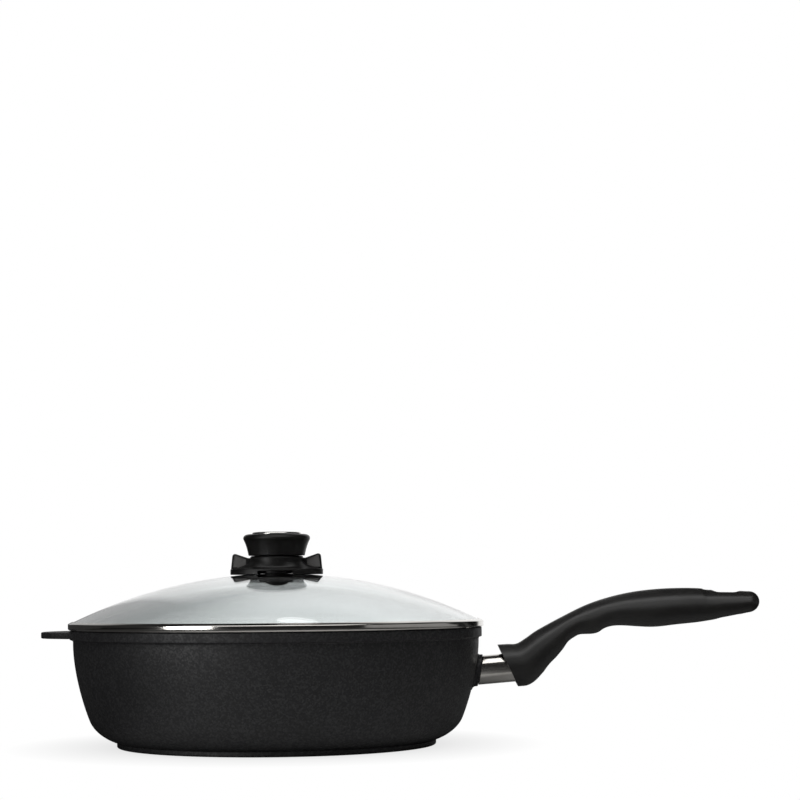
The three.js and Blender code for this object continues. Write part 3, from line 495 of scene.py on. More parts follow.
def turning_tree():
    tree, given = shape_tree("turn_outline", "Turned", Outline="Geometry", Steps="Int", Finish="Material")
    size = add(tree, "GeometryNodeAttributeDomainSize", {"Geometry": given["Outline"]})
    count = size.outputs["Point Count"]
    columns = add(tree, "ShaderNodeMath", {0: given["Steps"], 1: 1.0}, operation="ADD").outputs[0]
    grid = add(tree, "GeometryNodeMeshGrid", {"Vertices X": columns, "Vertices Y": count})
    index = add(tree, "GeometryNodeInputIndex").outputs[0]
    row = add(tree, "ShaderNodeMath", {0: index, 1: count}, operation="MODULO").outputs[0]
    share = add(tree, "ShaderNodeMath", {0: index, 1: count}, operation="DIVIDE").outputs[0]
    column = add(tree, "ShaderNodeMath", {0: share}, operation="FLOOR").outputs[0]
    part = add(tree, "ShaderNodeMath", {0: column, 1: given["Steps"]}, operation="DIVIDE").outputs[0]
    angle = add(tree, "ShaderNodeMath", {0: part, 1: 2 * pi}, operation="MULTIPLY").outputs[0]
    position = add(tree, "GeometryNodeInputPosition").outputs[0]
    point = add(tree, "GeometryNodeSampleIndex", {
        "Geometry": given["Outline"], "Value": position, "Index": row}, data_type="FLOAT_VECTOR")
    turned = add(tree, "ShaderNodeVectorRotate", {
        "Vector": point.outputs["Value"], "Angle": angle}, rotation_type="Z_AXIS").outputs[0]
    placed = add(tree, "GeometryNodeSetPosition", {"Geometry": grid.outputs["Mesh"], "Position": turned})
    merged = add(tree, "GeometryNodeMergeByDistance", {
        "Geometry": placed.outputs[0], "Distance": MERGE_DISTANCE * MM})
    real = add(tree, "GeometryNodeRealizeInstances", {0: merged.outputs[0]})
    painted = add(tree, "GeometryNodeSetMaterial", {"Geometry": real.outputs[0], "Material": given["Finish"]})
    add(tree, "NodeGroupOutput", {"Turned": painted.outputs[0]})
    return tree


lathe = turning_tree()


def turn(name, points, material, steps=LATHE_STEPS):
    """Turn an outline of (radius, height) points in millimetres round the Z axis."""
    thing = mesh_object(name, [(p[0], 0, p[1]) for p in points])
    return run_tree(thing, lathe, Steps=steps, Finish=material)


print("turning tree has", len(lathe.nodes), "nodes")

# %% [markdown]
# ## Pan casting
# The pan is cast and then turned, so its body is one outline round the axis: foot, rounded
# corner, leaning wall, rim collar with a throat below it, and the inside, which follows the
# outside at the wall's thickness. Two cubic curves give the wall the same line as the solid.

# %% Pan outline
pan_high = span("pan_body")[1]
PAN_HEIGHT = pan_high.z
RIM_RADIUS = pan_high.y
RIM_HEIGHT = 6.5
RIM_OVERHANG = 2.2
RIM_THROAT = 1.5
RIM_EDGE = 0.6
WALL = 3.2
WALL_LEAN = 11.8
CORNER_RUN = 18.0
CORNER_RISE = 14.9
KNEE_SLOPE = 68
HEEL_SLOPE = 18
FLOOR = 6.5
FLOOR_CORNER = 9.0
FLOOR_BLEND = 1.5
FLOOR_CURL = Vector((2.5, 1.4))
FLOOR_RUN = 3.0
FOOT_HEIGHT = 4.0
FOOT_STEP = 1.0
FOOT_EDGE = 1.2
WALL_STEPS = 28
WIDE_STEPS = 192

wall_top = Vector((RIM_RADIUS - RIM_OVERHANG, PAN_HEIGHT - RIM_HEIGHT - RIM_THROAT))
knee = Vector((wall_top.x - WALL_LEAN, FOOT_HEIGHT + CORNER_RISE))
heel = Vector((knee.x - CORNER_RUN, FOOT_HEIGHT))


def slope(degrees, length):
    return Vector((cos(radians(degrees)), sin(radians(degrees)))) * length


def wall_points():
    """Two cubic curves: the corner from heel to knee, then the wall up to the rim."""
    corner, height = (knee - heel).length, (wall_top - knee).length
    low = bezier(heel, heel + slope(HEEL_SLOPE, corner / 3), knee - slope(KNEE_SLOPE, corner / 3), knee,
                 WALL_STEPS)
    high = bezier(knee, knee + slope(KNEE_SLOPE, height / 4), wall_top - Vector((0, height / 3)), wall_top,
                  WALL_STEPS)
    return low + high + [wall_top]


def inside_points(outside):
    """The wall's inner line, from the rim down to the floor."""
    inner = []
    for before, after in zip(outside, outside[1:]):
        way = (after - before).normalized()
        point = (before + after) / 2 + Vector((-way.y, way.x)) * WALL
        if point.y > FLOOR + FLOOR_BLEND:
            inner.append(point)
    return inner[::-1]


wall = wall_points()
foot_radius = heel.x - FOOT_STEP
mouth_radius = wall_top.x - WALL
rim_bottom = PAN_HEIGHT - RIM_HEIGHT
inside = inside_points(wall)
floor_edge = inside[-1].x - FLOOR_CORNER
foot = outline((0, 0), (foot_radius, 0, FOOT_EDGE), (foot_radius, FOOT_HEIGHT, FOOT_STEP), heel)[:-1]
rim = outline(wall_top, (wall_top.x, rim_bottom, RIM_THROAT), (RIM_RADIUS, rim_bottom, RIM_EDGE),
              (RIM_RADIUS, PAN_HEIGHT, RIM_EDGE), (mouth_radius, PAN_HEIGHT, RIM_EDGE), inside[0])[1:-1]
floor = bezier(inside[-1], inside[-1] - FLOOR_CURL, Vector((floor_edge + FLOOR_RUN, FLOOR)),
               Vector((floor_edge, FLOOR)), ARC_STEPS)[1:]
pan_outline = foot + wall + rim + inside + floor + [Vector((floor_edge, FLOOR)), Vector((0, FLOOR))]
print("pan outline has", len(pan_outline), "points, foot radius", round(foot_radius, 1))

# %% [markdown]
# The boss for the handle and the helper lug are part of the same casting. The boss is an upright
# oval whose face leans, skinned from rings that widen into the wall like a casting fillet.

# %% Pan boss
HANDLE_DROP = 30.6
BOSS_REACH = 3.3
BOSS_LEAN = 9.5
BOSS_MARGIN = 0.9
BOSS_FILLET = 2.2
BOSS_SINK = 0.5
BOSS_EDGE = 0.4
FERRULE_WIDTH = 15.6
FERRULE_FLAT = 4.6
OVAL_STEPS = 24

handle_height = PAN_HEIGHT - HANDLE_DROP
above = next(i for i, p in enumerate(wall) if p.y >= handle_height)
share = (handle_height - wall[above - 1].y) / (wall[above].y - wall[above - 1].y)
boss_x = wall[above - 1].lerp(wall[above], share).x + BOSS_REACH
handle_tilt = Matrix.Rotation(radians(-HANDLE_TILT), 4, "Y")
handle_frame = Matrix.Translation((boss_x, 0, handle_height)) @ handle_tilt
face_lean = tan(radians(HANDLE_TILT + BOSS_LEAN))


def upright_oval(along, width, lean=0.0):
    """A ring of the ferrule's oval in the handle's frame, in a plane that may lean."""
    ring = []
    for i in range(4 * OVAL_STEPS):
        angle = 2 * pi * i / (4 * OVAL_STEPS)
        up = sin(angle) * width / 2 + (FERRULE_FLAT / 2 if sin(angle) > 0 else -FERRULE_FLAT / 2)
        ring.append(handle_frame @ Vector((along + up * lean, cos(angle) * width / 2, up)))
    return ring


def cast_boss():
    """Rings from inside the wall to the boss face: a fillet, the pad and its rounded edge."""
    pad = FERRULE_WIDTH + 2 * BOSS_MARGIN
    rings = [upright_oval(-BOSS_REACH - WALL / 2, pad + 2 * BOSS_FILLET, face_lean)]
    for turn_out in QUARTER:
        along = BOSS_FILLET * (1 - cos(turn_out)) - BOSS_REACH - BOSS_SINK
        rings.append(upright_oval(along, pad + 2 * BOSS_FILLET * (1 - sin(turn_out)), face_lean))
    for turn_in in QUARTER:
        along = BOSS_EDGE * (sin(turn_in) - 1)
        rings.append(upright_oval(along, pad - 2 * BOSS_EDGE * (1 - cos(turn_in)), face_lean))
    return skin("boss", rings)


print("boss face at", round(boss_x, 1), "mm, handle axis", round(handle_height, 1), "mm high")

# %% [markdown]
# The helper lug is a flat plate with a curved outline. It is drawn as one face, and modifiers
# give it its thickness and rounded edges. Its root follows the rim, so it doesn't show inside
# the pan.

# %% Pan lug and whole casting
LUG_REACH = 21.2
LUG_HALF_ROOT = 46.0
LUG_HALF_TIP = 31.0
LUG_THICKNESS = 4.3
LUG_DROP = 1.1
LUG_EDGE = 0.8
LUG_EDGE_FACETS = 3
LUG_SINK = 2.5
LUG_STEPS = 32
LUG_ROOT_STEPS = 24


def cast_lug():
    """A plate whose root follows the rim and whose tip is one curve to each side."""
    root_radius = RIM_RADIUS - LUG_SINK
    root = -sqrt((RIM_RADIUS - RIM_EDGE) ** 2 - LUG_HALF_ROOT ** 2)
    tip = -RIM_RADIUS - LUG_REACH
    half = LUG_REACH / 2
    side = bezier((root, LUG_HALF_ROOT), (root - half, LUG_HALF_ROOT - half), (tip, LUG_HALF_TIP), (tip, 0),
                  LUG_STEPS)
    edge = side + [Vector((tip, 0))] + [Vector((p.x, -p.y)) for p in reversed(side)]
    root_angle = asin(LUG_HALF_ROOT / root_radius)
    for i in range(1, LUG_ROOT_STEPS):
        angle = -root_angle + 2 * root_angle * i / LUG_ROOT_STEPS
        edge.append(Vector((-root_radius * cos(angle), root_radius * sin(angle))))
    top = PAN_HEIGHT - LUG_DROP
    lug = mesh_object("lug", [(p.x, p.y, top) for p in edge], [tuple(range(len(edge)))])
    thick = lug.modifiers.new("thickness", "SOLIDIFY")
    thick.thickness = LUG_THICKNESS * MM
    thick.offset = 1.0 if lug.data.polygons[0].normal.z < 0 else -1.0
    soft = lug.modifiers.new("edges", "BEVEL")
    soft.width = LUG_EDGE * MM
    soft.segments = LUG_EDGE_FACETS
    soft.limit_method = "ANGLE"
    return closed_shell(bake(lug))


def join(thing, *others):
    """Add the meshes of other objects to this one and delete those objects."""
    whole = bmesh.new()
    for part in (thing, *others):
        whole.from_mesh(part.data)
    whole.to_mesh(thing.data)
    whole.free()
    for part in others:
        bpy.data.objects.remove(part)
    return thing


pan = turn("pan_casting", pan_outline, coating, WIDE_STEPS)
join(pan, cast_boss(), cast_lug())
finish(pan, coating, "pan", "coated_casting", "pan_body")

# %% [markdown]
# ## Handle ferrule
# The ferrule is a short drawn tube of oval section that covers the boss's spigot and slips into
# the grip. Its front end is cut to the boss's lean. It is skinned as a closed tube: out along
# the outside, back along the inside.

# %% Handle ferrule
FERRULE_LENGTH = 29.0
FERRULE_WALL = 1.0
FERRULE_EDGE = 0.25
FIT_GAP = 0.3


def drawn_ferrule():
    bore, edge = FERRULE_WIDTH - 2 * FERRULE_WALL, FERRULE_EDGE
    rings = [
        upright_oval(FIT_GAP + edge, bore, face_lean),
        upright_oval(FIT_GAP, bore + 2 * edge, face_lean),
        upright_oval(FIT_GAP, FERRULE_WIDTH - 2 * edge, face_lean),
        upright_oval(FIT_GAP + edge, FERRULE_WIDTH, face_lean),
        upright_oval(FERRULE_LENGTH, FERRULE_WIDTH),
        upright_oval(FERRULE_LENGTH, bore),
    ]
    return skin("ferrule_tube", rings, tube=True)


finish(drawn_ferrule(), tube_steel, "pan", "stainless", "handle_ferrule")

# %% [markdown]
# ## Handle grip
# The grip is moulded round no straight line: a socket for the ferrule, an elbow with a finger
# stop below, and a long hand part. Two smooth curves, the crown and the underside, are read off
# its side view, and sections are hung between them. A section has a rounded belly, nearly flat
# sides and a roof, and the soft crease between side and roof catches the long highlight. The
# socket, the screw's way in and the hanging hole are cut out afterwards.

# %% Handle grip curves
SOCKET_DEPTH = 8.6
SOCKET_ROOF = 6.75
SOCKET_FLOOR = 3.55
SOCKET_CHEEK = 4.5
FRONT_SETBACK = 11.9
ELBOW_LENGTH = 75.0
HAND_LENGTH = 98.6
GRIP_RISE = 22.75
GRIP_DEPTH = 23.35
GRIP_BROW = 13.5
BROW_DROP = 0.4
GRIP_STATIONS = 160
FINE_STEPS = 40

ferrule_height = FERRULE_WIDTH + FERRULE_FLAT
socket_top = ferrule_height / 2 + SOCKET_ROOF
socket_bottom = -ferrule_height / 2 - SOCKET_FLOOR
front_tilt = FRONT_SETBACK / (socket_top - socket_bottom)
grip_start = FERRULE_LENGTH - SOCKET_DEPTH


def on_elbow(points, low, high):
    return [Vector((along * ELBOW_LENGTH, low + (high - low) * up)) for along, up in points]


def on_hand(points):
    return [Vector((ELBOW_LENGTH + along * HAND_LENGTH, GRIP_RISE + up * GRIP_DEPTH))
            for along, up in points]


def smooth_curve(knots, count):
    """Points at equal distances along a curve that passes through all knots."""
    fine = []
    last = len(knots) - 1
    for i in range(last):
        before, start, end, after = (knots[max(0, min(last, i + k))] for k in (-1, 0, 1, 2))
        pull_in, pull_out = (end - before) / 2, (after - start) / 2
        for step in range(FINE_STEPS):
            t = step / FINE_STEPS
            fine.append((2 * start - 2 * end + pull_in + pull_out) * t ** 3
                        + (3 * end - 3 * start - 2 * pull_in - pull_out) * t ** 2 + pull_in * t + start)
    fine.append(knots[-1])
    lengths = [0.0]
    for a, b in zip(fine, fine[1:]):
        lengths.append(lengths[-1] + (b - a).length)
    points, k = [], 0
    for i in range(count + 1):
        wanted = lengths[-1] * i / count
        while k < len(fine) - 2 and lengths[k + 1] < wanted:
            k += 1
        points.append(fine[k].lerp(fine[k + 1], (wanted - lengths[k]) / (lengths[k + 1] - lengths[k])))
    return points


arch = on_hand([(0, .88), (.18, .98), (.36, 1), (.53, .965), (.66, .905), (.7, .85), (.83, .784), (1, .69)])
front_top = Vector((-socket_top * front_tilt, socket_top))
front_bottom = Vector((-socket_bottom * front_tilt, socket_bottom))
crown_knots = [front_top, front_top + Vector((GRIP_BROW / 2, -BROW_DROP / 2)),
               front_top + Vector((GRIP_BROW, -BROW_DROP))]
crown_knots += on_elbow([(.18, .103), (.3, .294), (.54, .588), (.775, .844)], socket_top, arch[0].y) + arch
under_knots = [front_bottom]
under_knots += on_elbow([(.147, 0), (.205, .04), (.267, .13), (.39, .371), (.515, .623), (.577, .772),
                         (.64, .851), (.697, .893), (.81, .885), (.87, .904), (.928, .967)],
                        socket_bottom, GRIP_RISE)
under_knots += on_hand([(0, 0), (.08, -.01), (.29, -.13), (.47, -.12), (.64, -.105), (.81, -.043),
                        (.99, .05)])
crown = smooth_curve(crown_knots, GRIP_STATIONS)
underside = smooth_curve(under_knots, GRIP_STATIONS)
print("crown from", [round(v, 1) for v in crown[0]], "to", [round(v, 1) for v in crown[-1]])

# %% [markdown]
# The skin is one ring for each pair of points on the two curves. Its width follows a third
# curve, narrow at the neck and broad in the hand. Smaller rings round off the end.

# %% Handle grip skin
NECK_WIDTH = 20.0
HAND_WIDTH = 28.0
HOLE_WIDTH = 8.0
HOLE_WALL = 6.5
END_ROUND = 8.0
END_RINGS = 14
END_TURN = 88
GRIP_SIDES = 64
WIDTH_POINTS = 800
THOUSANDTHS = 1000

end_width = HOLE_WIDTH + 2 * HOLE_WALL
cheek_width = FERRULE_WIDTH + 2 * SOCKET_CHEEK
width_knots = [(0, cheek_width), (.1, cheek_width), (.34, NECK_WIDTH), (.62, HAND_WIDTH),
               (.84, (HAND_WIDTH + 2 * end_width) / 3), (1, end_width)]
width_curve = smooth_curve([Vector((x * THOUSANDTHS, w)) for x, w in width_knots], WIDTH_POINTS)


def grip_width(share):
    return min(width_curve, key=lambda p: abs(p.x - share * THOUSANDTHS)).y


half_section = [(0, -1), (.32, -.97), (.6, -.86), (.9, -.58), (1, -.14), (.93, .26), (.78, .58), (.32, .92),
                (0, 1)]
whole_section = half_section + [(-side, up) for side, up in reversed(half_section[:-1])]
section = smooth_curve([Vector(knot) for knot in whole_section], GRIP_SIDES)[:-1]


def grip_section(top, bottom, width, shift=Vector((0, 0)), scale=1.0):
    """One ring of the grip between a crown point and an underside point."""
    middle, half = (top + bottom) / 2 + shift, (top - bottom) / 2 * scale
    ring = []
    for side, up in section:
        ring.append(handle_frame @ Vector((grip_start + middle.x + half.x * up, side * width * scale / 2,
                                           middle.y + half.y * up)))
    return ring


def moulded_grip():
    stations = range(GRIP_STATIONS + 1)
    rings = [grip_section(crown[i], underside[i], grip_width(i / GRIP_STATIONS)) for i in stations]
    outwards = (crown[-1] - crown[-2] + underside[-1] - underside[-2]).normalized()
    for i in range(1, END_RINGS + 1):
        turn_out = radians(END_TURN) * i / END_RINGS
        shift = outwards * END_ROUND * sin(turn_out)
        rings.append(grip_section(crown[-1], underside[-1], end_width, shift, cos(turn_out)))
    return skin("grip", rings)


print("grip", NECK_WIDTH, "mm wide at the neck and", HAND_WIDTH, "mm in the hand")

# %% [markdown]
# Cores in the mould leave the socket for the ferrule, the screw's way in and the slot to hang
# the pan by. Each is made as a solid and cut out of the grip. The slot opens out at both faces,
# because a core has to slip out of the hole that it leaves.

# %% Handle grip cuts
CUT_PAST = 20
ROD_STEPS = 48
HOLE_RUN = 10.0
HOLE_END = 6.0
HOLE_STATION = -12
# How the hole opens at its lower and upper face: height from the face, and what is added all round
HOLE_BELOW = ((-8, 4.5), (-0.6, 1.0), (1.2, 0.2), (2.5, 0))
HOLE_ABOVE = ((-3.5, 0), (-1.8, 0.3), (-0.2, 1.0), (8, 4.5))


def rod(start, end, radius):
    """A round bar along the handle's axis, for cutting."""
    angles = [2 * pi * i / ROD_STEPS for i in range(ROD_STEPS)]
    return skin("rod", [[handle_frame @ Vector((along, radius * cos(a), radius * sin(a))) for a in angles]
                        for along in (start, end)])


def hanging_hole():
    """The slot for a hook, as a solid."""
    middle = grip_start + ELBOW_LENGTH + HAND_LENGTH - HOLE_END - (HOLE_WIDTH + HOLE_RUN) / 2
    top, bottom = crown[HOLE_STATION].y, underside[HOLE_STATION].y
    levels = [(bottom + up, grow) for up, grow in HOLE_BELOW] + [(top + up, grow) for up, grow in HOLE_ABOVE]
    rings = []
    for up, grow in levels:
        ring = []
        for i in range(4 * OVAL_STEPS):
            angle = 2 * pi * i / (4 * OVAL_STEPS)
            run = HOLE_RUN / 2 if cos(angle) > 0 else -HOLE_RUN / 2
            radius = HOLE_WIDTH / 2 + grow
            ring.append(handle_frame @ Vector((middle + run + radius * cos(angle), radius * sin(angle), up)))
        rings.append(ring)
    return skin("hole", rings)


SCREW_SEAT_WALL = 6.0
SCREW_RADIUS = 2.5
WASHER_RADIUS = 5.0
socket_end = FERRULE_LENGTH + FIT_GAP
screw_seat = socket_end + SCREW_SEAT_WALL
socket = skin("socket", [upright_oval(x, FERRULE_WIDTH + 2 * FIT_GAP) for x in (-CUT_PAST, socket_end)])
screw_way = rod(0, screw_seat + CUT_PAST, SCREW_RADIUS + FIT_GAP)
head_way = rod(screw_seat, screw_seat + 2 * CUT_PAST, WASHER_RADIUS + FIT_GAP)
grip = combine(moulded_grip(), "DIFFERENCE", socket, screw_way, head_way, hanging_hole())
grip.name = "handle_grip_moulded"
finish(grip, phenolic, "pan", "phenolic", "handle_grip")

# %% [markdown]
# ## Screws and washers
# A dome headed screw is turned, then its cross recess is pressed in, so it is an outline turned
# round its axis with two bars cut from its head. A washer is a small ring, turned the same way.
# Both are made upright and then laid along the handle.

# %% Screws and washers
RECESS_ARM = 0.9
RECESS_DEPTH = 1.6
RECESS_CLEAR = 2.0
HEAD_EDGE = 0.2
HEAD_STEPS = 16
SCREW_STEPS = 48
WASHER_STEPS = 64
SEAT_GAP = 0.15


def bar(name, x, y, low, high):
    """An upright block round the Z axis, for cutting."""
    return skin(name, [[(x, y, z), (-x, y, z), (-x, -y, z), (x, -y, z)] for z in (low, high)])


def dome_head_screw(name, length, radius, head_radius, head_height):
    """A screw whose head stands on the plane z = 0 and whose shank points down."""
    crown_point, bend = Vector((0, head_height)), Vector((head_radius / 2, head_height))
    edge = Vector((head_radius, head_height / 4))
    dome = bezier(edge, edge.lerp(bend, 2 / 3), crown_point.lerp(bend, 2 / 3), crown_point, HEAD_STEPS)
    points = outline((0, -length), (radius / 2, -length), (radius, radius / 2 - length), (radius, 0),
                     (head_radius, 0, HEAD_EDGE), edge)[:-1]
    points += dome + [crown_point]
    low, high = head_height - RECESS_DEPTH, head_height + RECESS_CLEAR
    arms = [bar("arm", x / 2, y / 2, low, high)
            for x, y in ((head_radius, RECESS_ARM), (RECESS_ARM, head_radius))]
    return combine(turn(name, points, zinc, SCREW_STEPS), "DIFFERENCE", *arms)


def washer_outline(bore, radius, bottom, top, edge):
    ring = outline((bore, bottom, edge), (radius, bottom, edge), (radius, top, edge), (bore, top, edge))
    return ring + ring[:1]


def along_handle(thing, place):
    """Turn a piece from the Z axis onto the handle's axis, at a place along it."""
    turned = Matrix.Rotation(radians(90), 4, "Y")
    where = handle_frame @ Matrix.Translation((place, 0, 0)) @ turned
    where.translation *= MM
    thing.data.transform(where)
    return thing


print("cross recess", RECESS_DEPTH, "mm deep")

# %% [markdown]
# The handle's screw runs from the counterbore in the grip through the ferrule into the boss. A
# flat washer spreads its pull over the moulding, and a spring washer keeps it tight. They are
# seated one after the other along the handle's axis, with a little air between them.

# %% Handle screw and flat washer
FLAT_WASHER_HEIGHT = 1.0
FLAT_WASHER_EDGE = 0.12
SPRING_WASHER_HEIGHT = 1.3
HEAD_RADIUS = 4.5
HEAD_HEIGHT = 3.2
TAP_BOTTOM = 1.0
spring_seat = screw_seat + SEAT_GAP + FLAT_WASHER_HEIGHT
head_seat = spring_seat + 2 * SEAT_GAP + SPRING_WASHER_HEIGHT
shank = head_seat + BOSS_REACH - TAP_BOTTOM
screw = dome_head_screw("handle_screw_zinced", shank, SCREW_RADIUS, HEAD_RADIUS, HEAD_HEIGHT)
finish(along_handle(screw, head_seat), zinc, "pan", "zinced_steel", "handle_screw")
flat_ring = washer_outline(SCREW_RADIUS + FIT_GAP, WASHER_RADIUS, 0, FLAT_WASHER_HEIGHT, FLAT_WASHER_EDGE)
flat_washer = along_handle(turn("handle_washer_flat", flat_ring, zinc, WASHER_STEPS), screw_seat + SEAT_GAP)
finish(flat_washer, zinc, "pan", "zinced_steel", "handle_flat_washer")

# %% [markdown]
# The spring washer is a strip of square wire, bent to most of a turn of a helix. It follows a
# path, so a Geometry Nodes tree sweeps a square along a spiral.

# %% Spring washer tree
SPRING_WASHER_RADIUS = 4.4
SPRING_WASHER_CUT = 24
SPRING_RISE = 0.25


def spring_tree():
    tree, given = shape_tree("bend_wire", "Wire", Turns="Float", Radius="Float", Rise="Float", Width="Float",
                             Height="Float", Finish="Material")
    path = add(tree, "GeometryNodeCurveSpiral", {
        "Resolution": WASHER_STEPS, "Rotations": given["Turns"], "Start Radius": given["Radius"],
        "End Radius": given["Radius"], "Height": given["Rise"]})
    upright = add(tree, "GeometryNodeSetCurveNormal", {0: path.outputs[0]}, mode="Z_UP")
    square = add(tree, "GeometryNodeCurvePrimitiveQuadrilateral", {
        "Width": given["Width"], "Height": given["Height"]})
    wire = add(tree, "GeometryNodeCurveToMesh", {
        "Curve": upright.outputs[0], "Profile Curve": square.outputs[0], "Fill Caps": True})
    real = add(tree, "GeometryNodeRealizeInstances", {0: wire.outputs[0]})
    painted = add(tree, "GeometryNodeSetMaterial", {"Geometry": real.outputs[0], "Material": given["Finish"]})
    add(tree, "NodeGroupOutput", {"Wire": painted.outputs[0]})
    return tree


def spring_washer():
    bore, wire_height = SCREW_RADIUS + FIT_GAP, SPRING_WASHER_HEIGHT - SPRING_RISE
    washer = run_tree(mesh_object("handle_washer_spring", []), spring_tree(),
                      Turns=1 - SPRING_WASHER_CUT / 360, Radius=(bore + SPRING_WASHER_RADIUS) / 2 * MM,
                      Rise=SPRING_RISE * MM, Width=(SPRING_WASHER_RADIUS - bore) * MM,
                      Height=wire_height * MM, Finish=zinc)
    washer.data.transform(Matrix.Translation((0, 0, wire_height / 2 * MM)))
    return along_handle(washer, spring_seat + SEAT_GAP)


finish(spring_washer(), zinc, "pan", "zinced_steel", "handle_spring_washer")

# %% [markdown]
# ## Lid glass
# The glass is a shallow cap of a sphere of 325 mm radius with a rounded edge and a hole for the
# knob's screw. It is a turned outline of two arcs. Its place follows from the band that holds it.

# %% Lid glass
GLASS = 4.0
DOME_RADIUS = 325.0
GLASS_HOLE = 6.0
BAND_SHEET = 0.5
BAND_SIDE_GAP = 1.0
BAND_UNDER_GAP = 0.65
DOME_STEPS = 60
EDGE_STEPS = 16

band_low, band_high = span("lid_band")
BAND_RADIUS = band_high.y
skirt_bottom = band_low.z
band_bottom = PAN_HEIGHT + FIT_GAP
glass_radius = BAND_RADIUS - BAND_SHEET - BAND_SIDE_GAP
edge_centre = Vector((glass_radius - GLASS / 2, band_bottom + BAND_SHEET + BAND_UNDER_GAP + GLASS / 2))
edge_angle = asin(edge_centre.x / (DOME_RADIUS - GLASS / 2))
dome_centre = edge_centre.y - (DOME_RADIUS - GLASS / 2) * cos(edge_angle)
dome_top = dome_centre + DOME_RADIUS


def dome_arc(radius, start, end):
    angles = [start + (end - start) * i / DOME_STEPS for i in range(DOME_STEPS + 1)]
    return [Vector((radius * sin(a), dome_centre + radius * cos(a))) for a in angles]


def dome_height(across, radius):
    return dome_centre + sqrt(radius ** 2 - across ** 2)


def glass_outline():
    under, outer = DOME_RADIUS - GLASS, DOME_RADIUS
    points = dome_arc(under, asin(GLASS_HOLE / under), edge_angle)
    for i in range(1, EDGE_STEPS):
        angle = edge_angle + pi - pi * i / EDGE_STEPS
        points.append(edge_centre + Vector((sin(angle), cos(angle))) * GLASS / 2)
    points += dome_arc(outer, edge_angle, asin(GLASS_HOLE / outer))
    return points + points[:1]


lid_glass = turn("lid_glass_dome", glass_outline(), glass, WIDE_STEPS)
finish(lid_glass, glass, "lid", "clear_glass", "lid_glass")
print("dome top at", round(dome_top, 2), "mm")

# %% [markdown]
# ## Lid band
# The band is one strip of steel rolled round the glass: a lip on the glass, an upright wall, a
# flat that rests on the rim, and a skirt inside the pan's mouth. It is one turned outline, out
# along the outside of the sheet and back along its inside.

# %% Lid band
BAND_ROUND = 1.4
LIP_GAP = 0.2
LIP_COVER = 1.6
LIP_BEND = 0.8
LIP_EDGE = 0.2
LIP_INSIDE = 0.3
SKIRT_GAP = 1.0
SKIRT_BEND = 0.4


def band_outline():
    skirt = mouth_radius - SKIRT_GAP
    inside_wall = BAND_RADIUS - BAND_SHEET
    lip_radius = glass_radius - LIP_COVER
    lip_slope = tan(edge_angle)
    lip = dome_height(lip_radius, DOME_RADIUS) + LIP_GAP
    corner = lip - (BAND_RADIUS - lip_radius) * lip_slope
    corner_in = lip - (inside_wall - lip_radius) * lip_slope
    ring = outline(
        (skirt, skirt_bottom), (skirt, band_bottom, SKIRT_BEND), (BAND_RADIUS, band_bottom, BAND_ROUND),
        (BAND_RADIUS, corner + BAND_SHEET, LIP_BEND), (lip_radius, lip + BAND_SHEET, LIP_EDGE),
        (lip_radius, lip), (inside_wall, corner_in, LIP_INSIDE),
        (inside_wall, band_bottom + BAND_SHEET, BAND_ROUND - BAND_SHEET),
        (skirt - BAND_SHEET, band_bottom + BAND_SHEET, SKIRT_BEND), (skirt - BAND_SHEET, skirt_bottom))
    return ring + ring[:1]


lid_band = turn("lid_band_rolled", band_outline(), band_steel, WIDE_STEPS)
finish(lid_band, band_steel, "lid", "stainless", "lid_band")

# %% [markdown]
# ## Knob grip and disc
# The knob's grip is a moulded spool: a waist to grasp and a wide rounded top. A spun steel disc
# is let into its top.

# %% Knob grip and disc
KNOB_RADIUS = 23.8
KNOB_WAIST = 20.1
KNOB_EDGE_HEIGHT = 4.3
KNOB_FLARE = 4.0
KNOB_SLOPE = 1.2
KNOB_LIP = 0.5
SOFT_EDGE = 0.6
CAP_RADIUS = 17.4
CAP_SHELF = 2.0
CAP_RECESS = 1.3
CAP_CROWN = 0.4
CAP_EDGE = 1.0
CAP_FOOT_EDGE = 0.2
CAP_TILT = 0.05
CAP_PULL_OUT = 0.8
CAP_PULL_UP = 0.6
RECESS_EDGE = 0.25
INSERT_RADIUS = 4.5
KNOB_STEPS = 128
KNOB_CURVE_STEPS = 20

knob_low, knob_high = span("knob_grip")
knob_base, knob_top = knob_low.z, knob_high.z
insert_top = span("knob_insert")[1].z


def knob_outline():
    bore = INSERT_RADIUS + FIT_GAP
    edge = knob_top - KNOB_EDGE_HEIGHT
    shelf = CAP_RADIUS + CAP_SHELF
    low = outline((0, insert_top + FIT_GAP), (bore, insert_top + FIT_GAP), (bore, knob_base),
                  (KNOB_WAIST, knob_base, SOFT_EDGE), (KNOB_WAIST, edge))[:-1]
    waist = Vector((KNOB_WAIST, knob_base + SOFT_EDGE))
    bend = Vector((KNOB_WAIST + KNOB_SLOPE, edge - KNOB_FLARE))
    brim = Vector((KNOB_RADIUS - KNOB_LIP, edge))
    flare = bezier(waist, waist.lerp(bend, 2 / 3), brim.lerp(bend, 2 / 3), brim, KNOB_CURVE_STEPS)[1:]
    top = bezier(brim, (KNOB_RADIUS + KNOB_LIP, edge + KNOB_EDGE_HEIGHT / 3), (KNOB_RADIUS, knob_top),
                 (shelf, knob_top), KNOB_CURVE_STEPS)
    recess = outline((shelf, knob_top), (CAP_RADIUS + FIT_GAP, knob_top, RECESS_EDGE),
                     (CAP_RADIUS + FIT_GAP, knob_top - CAP_RECESS), (0, knob_top - CAP_RECESS))
    return low + flare + top + recess


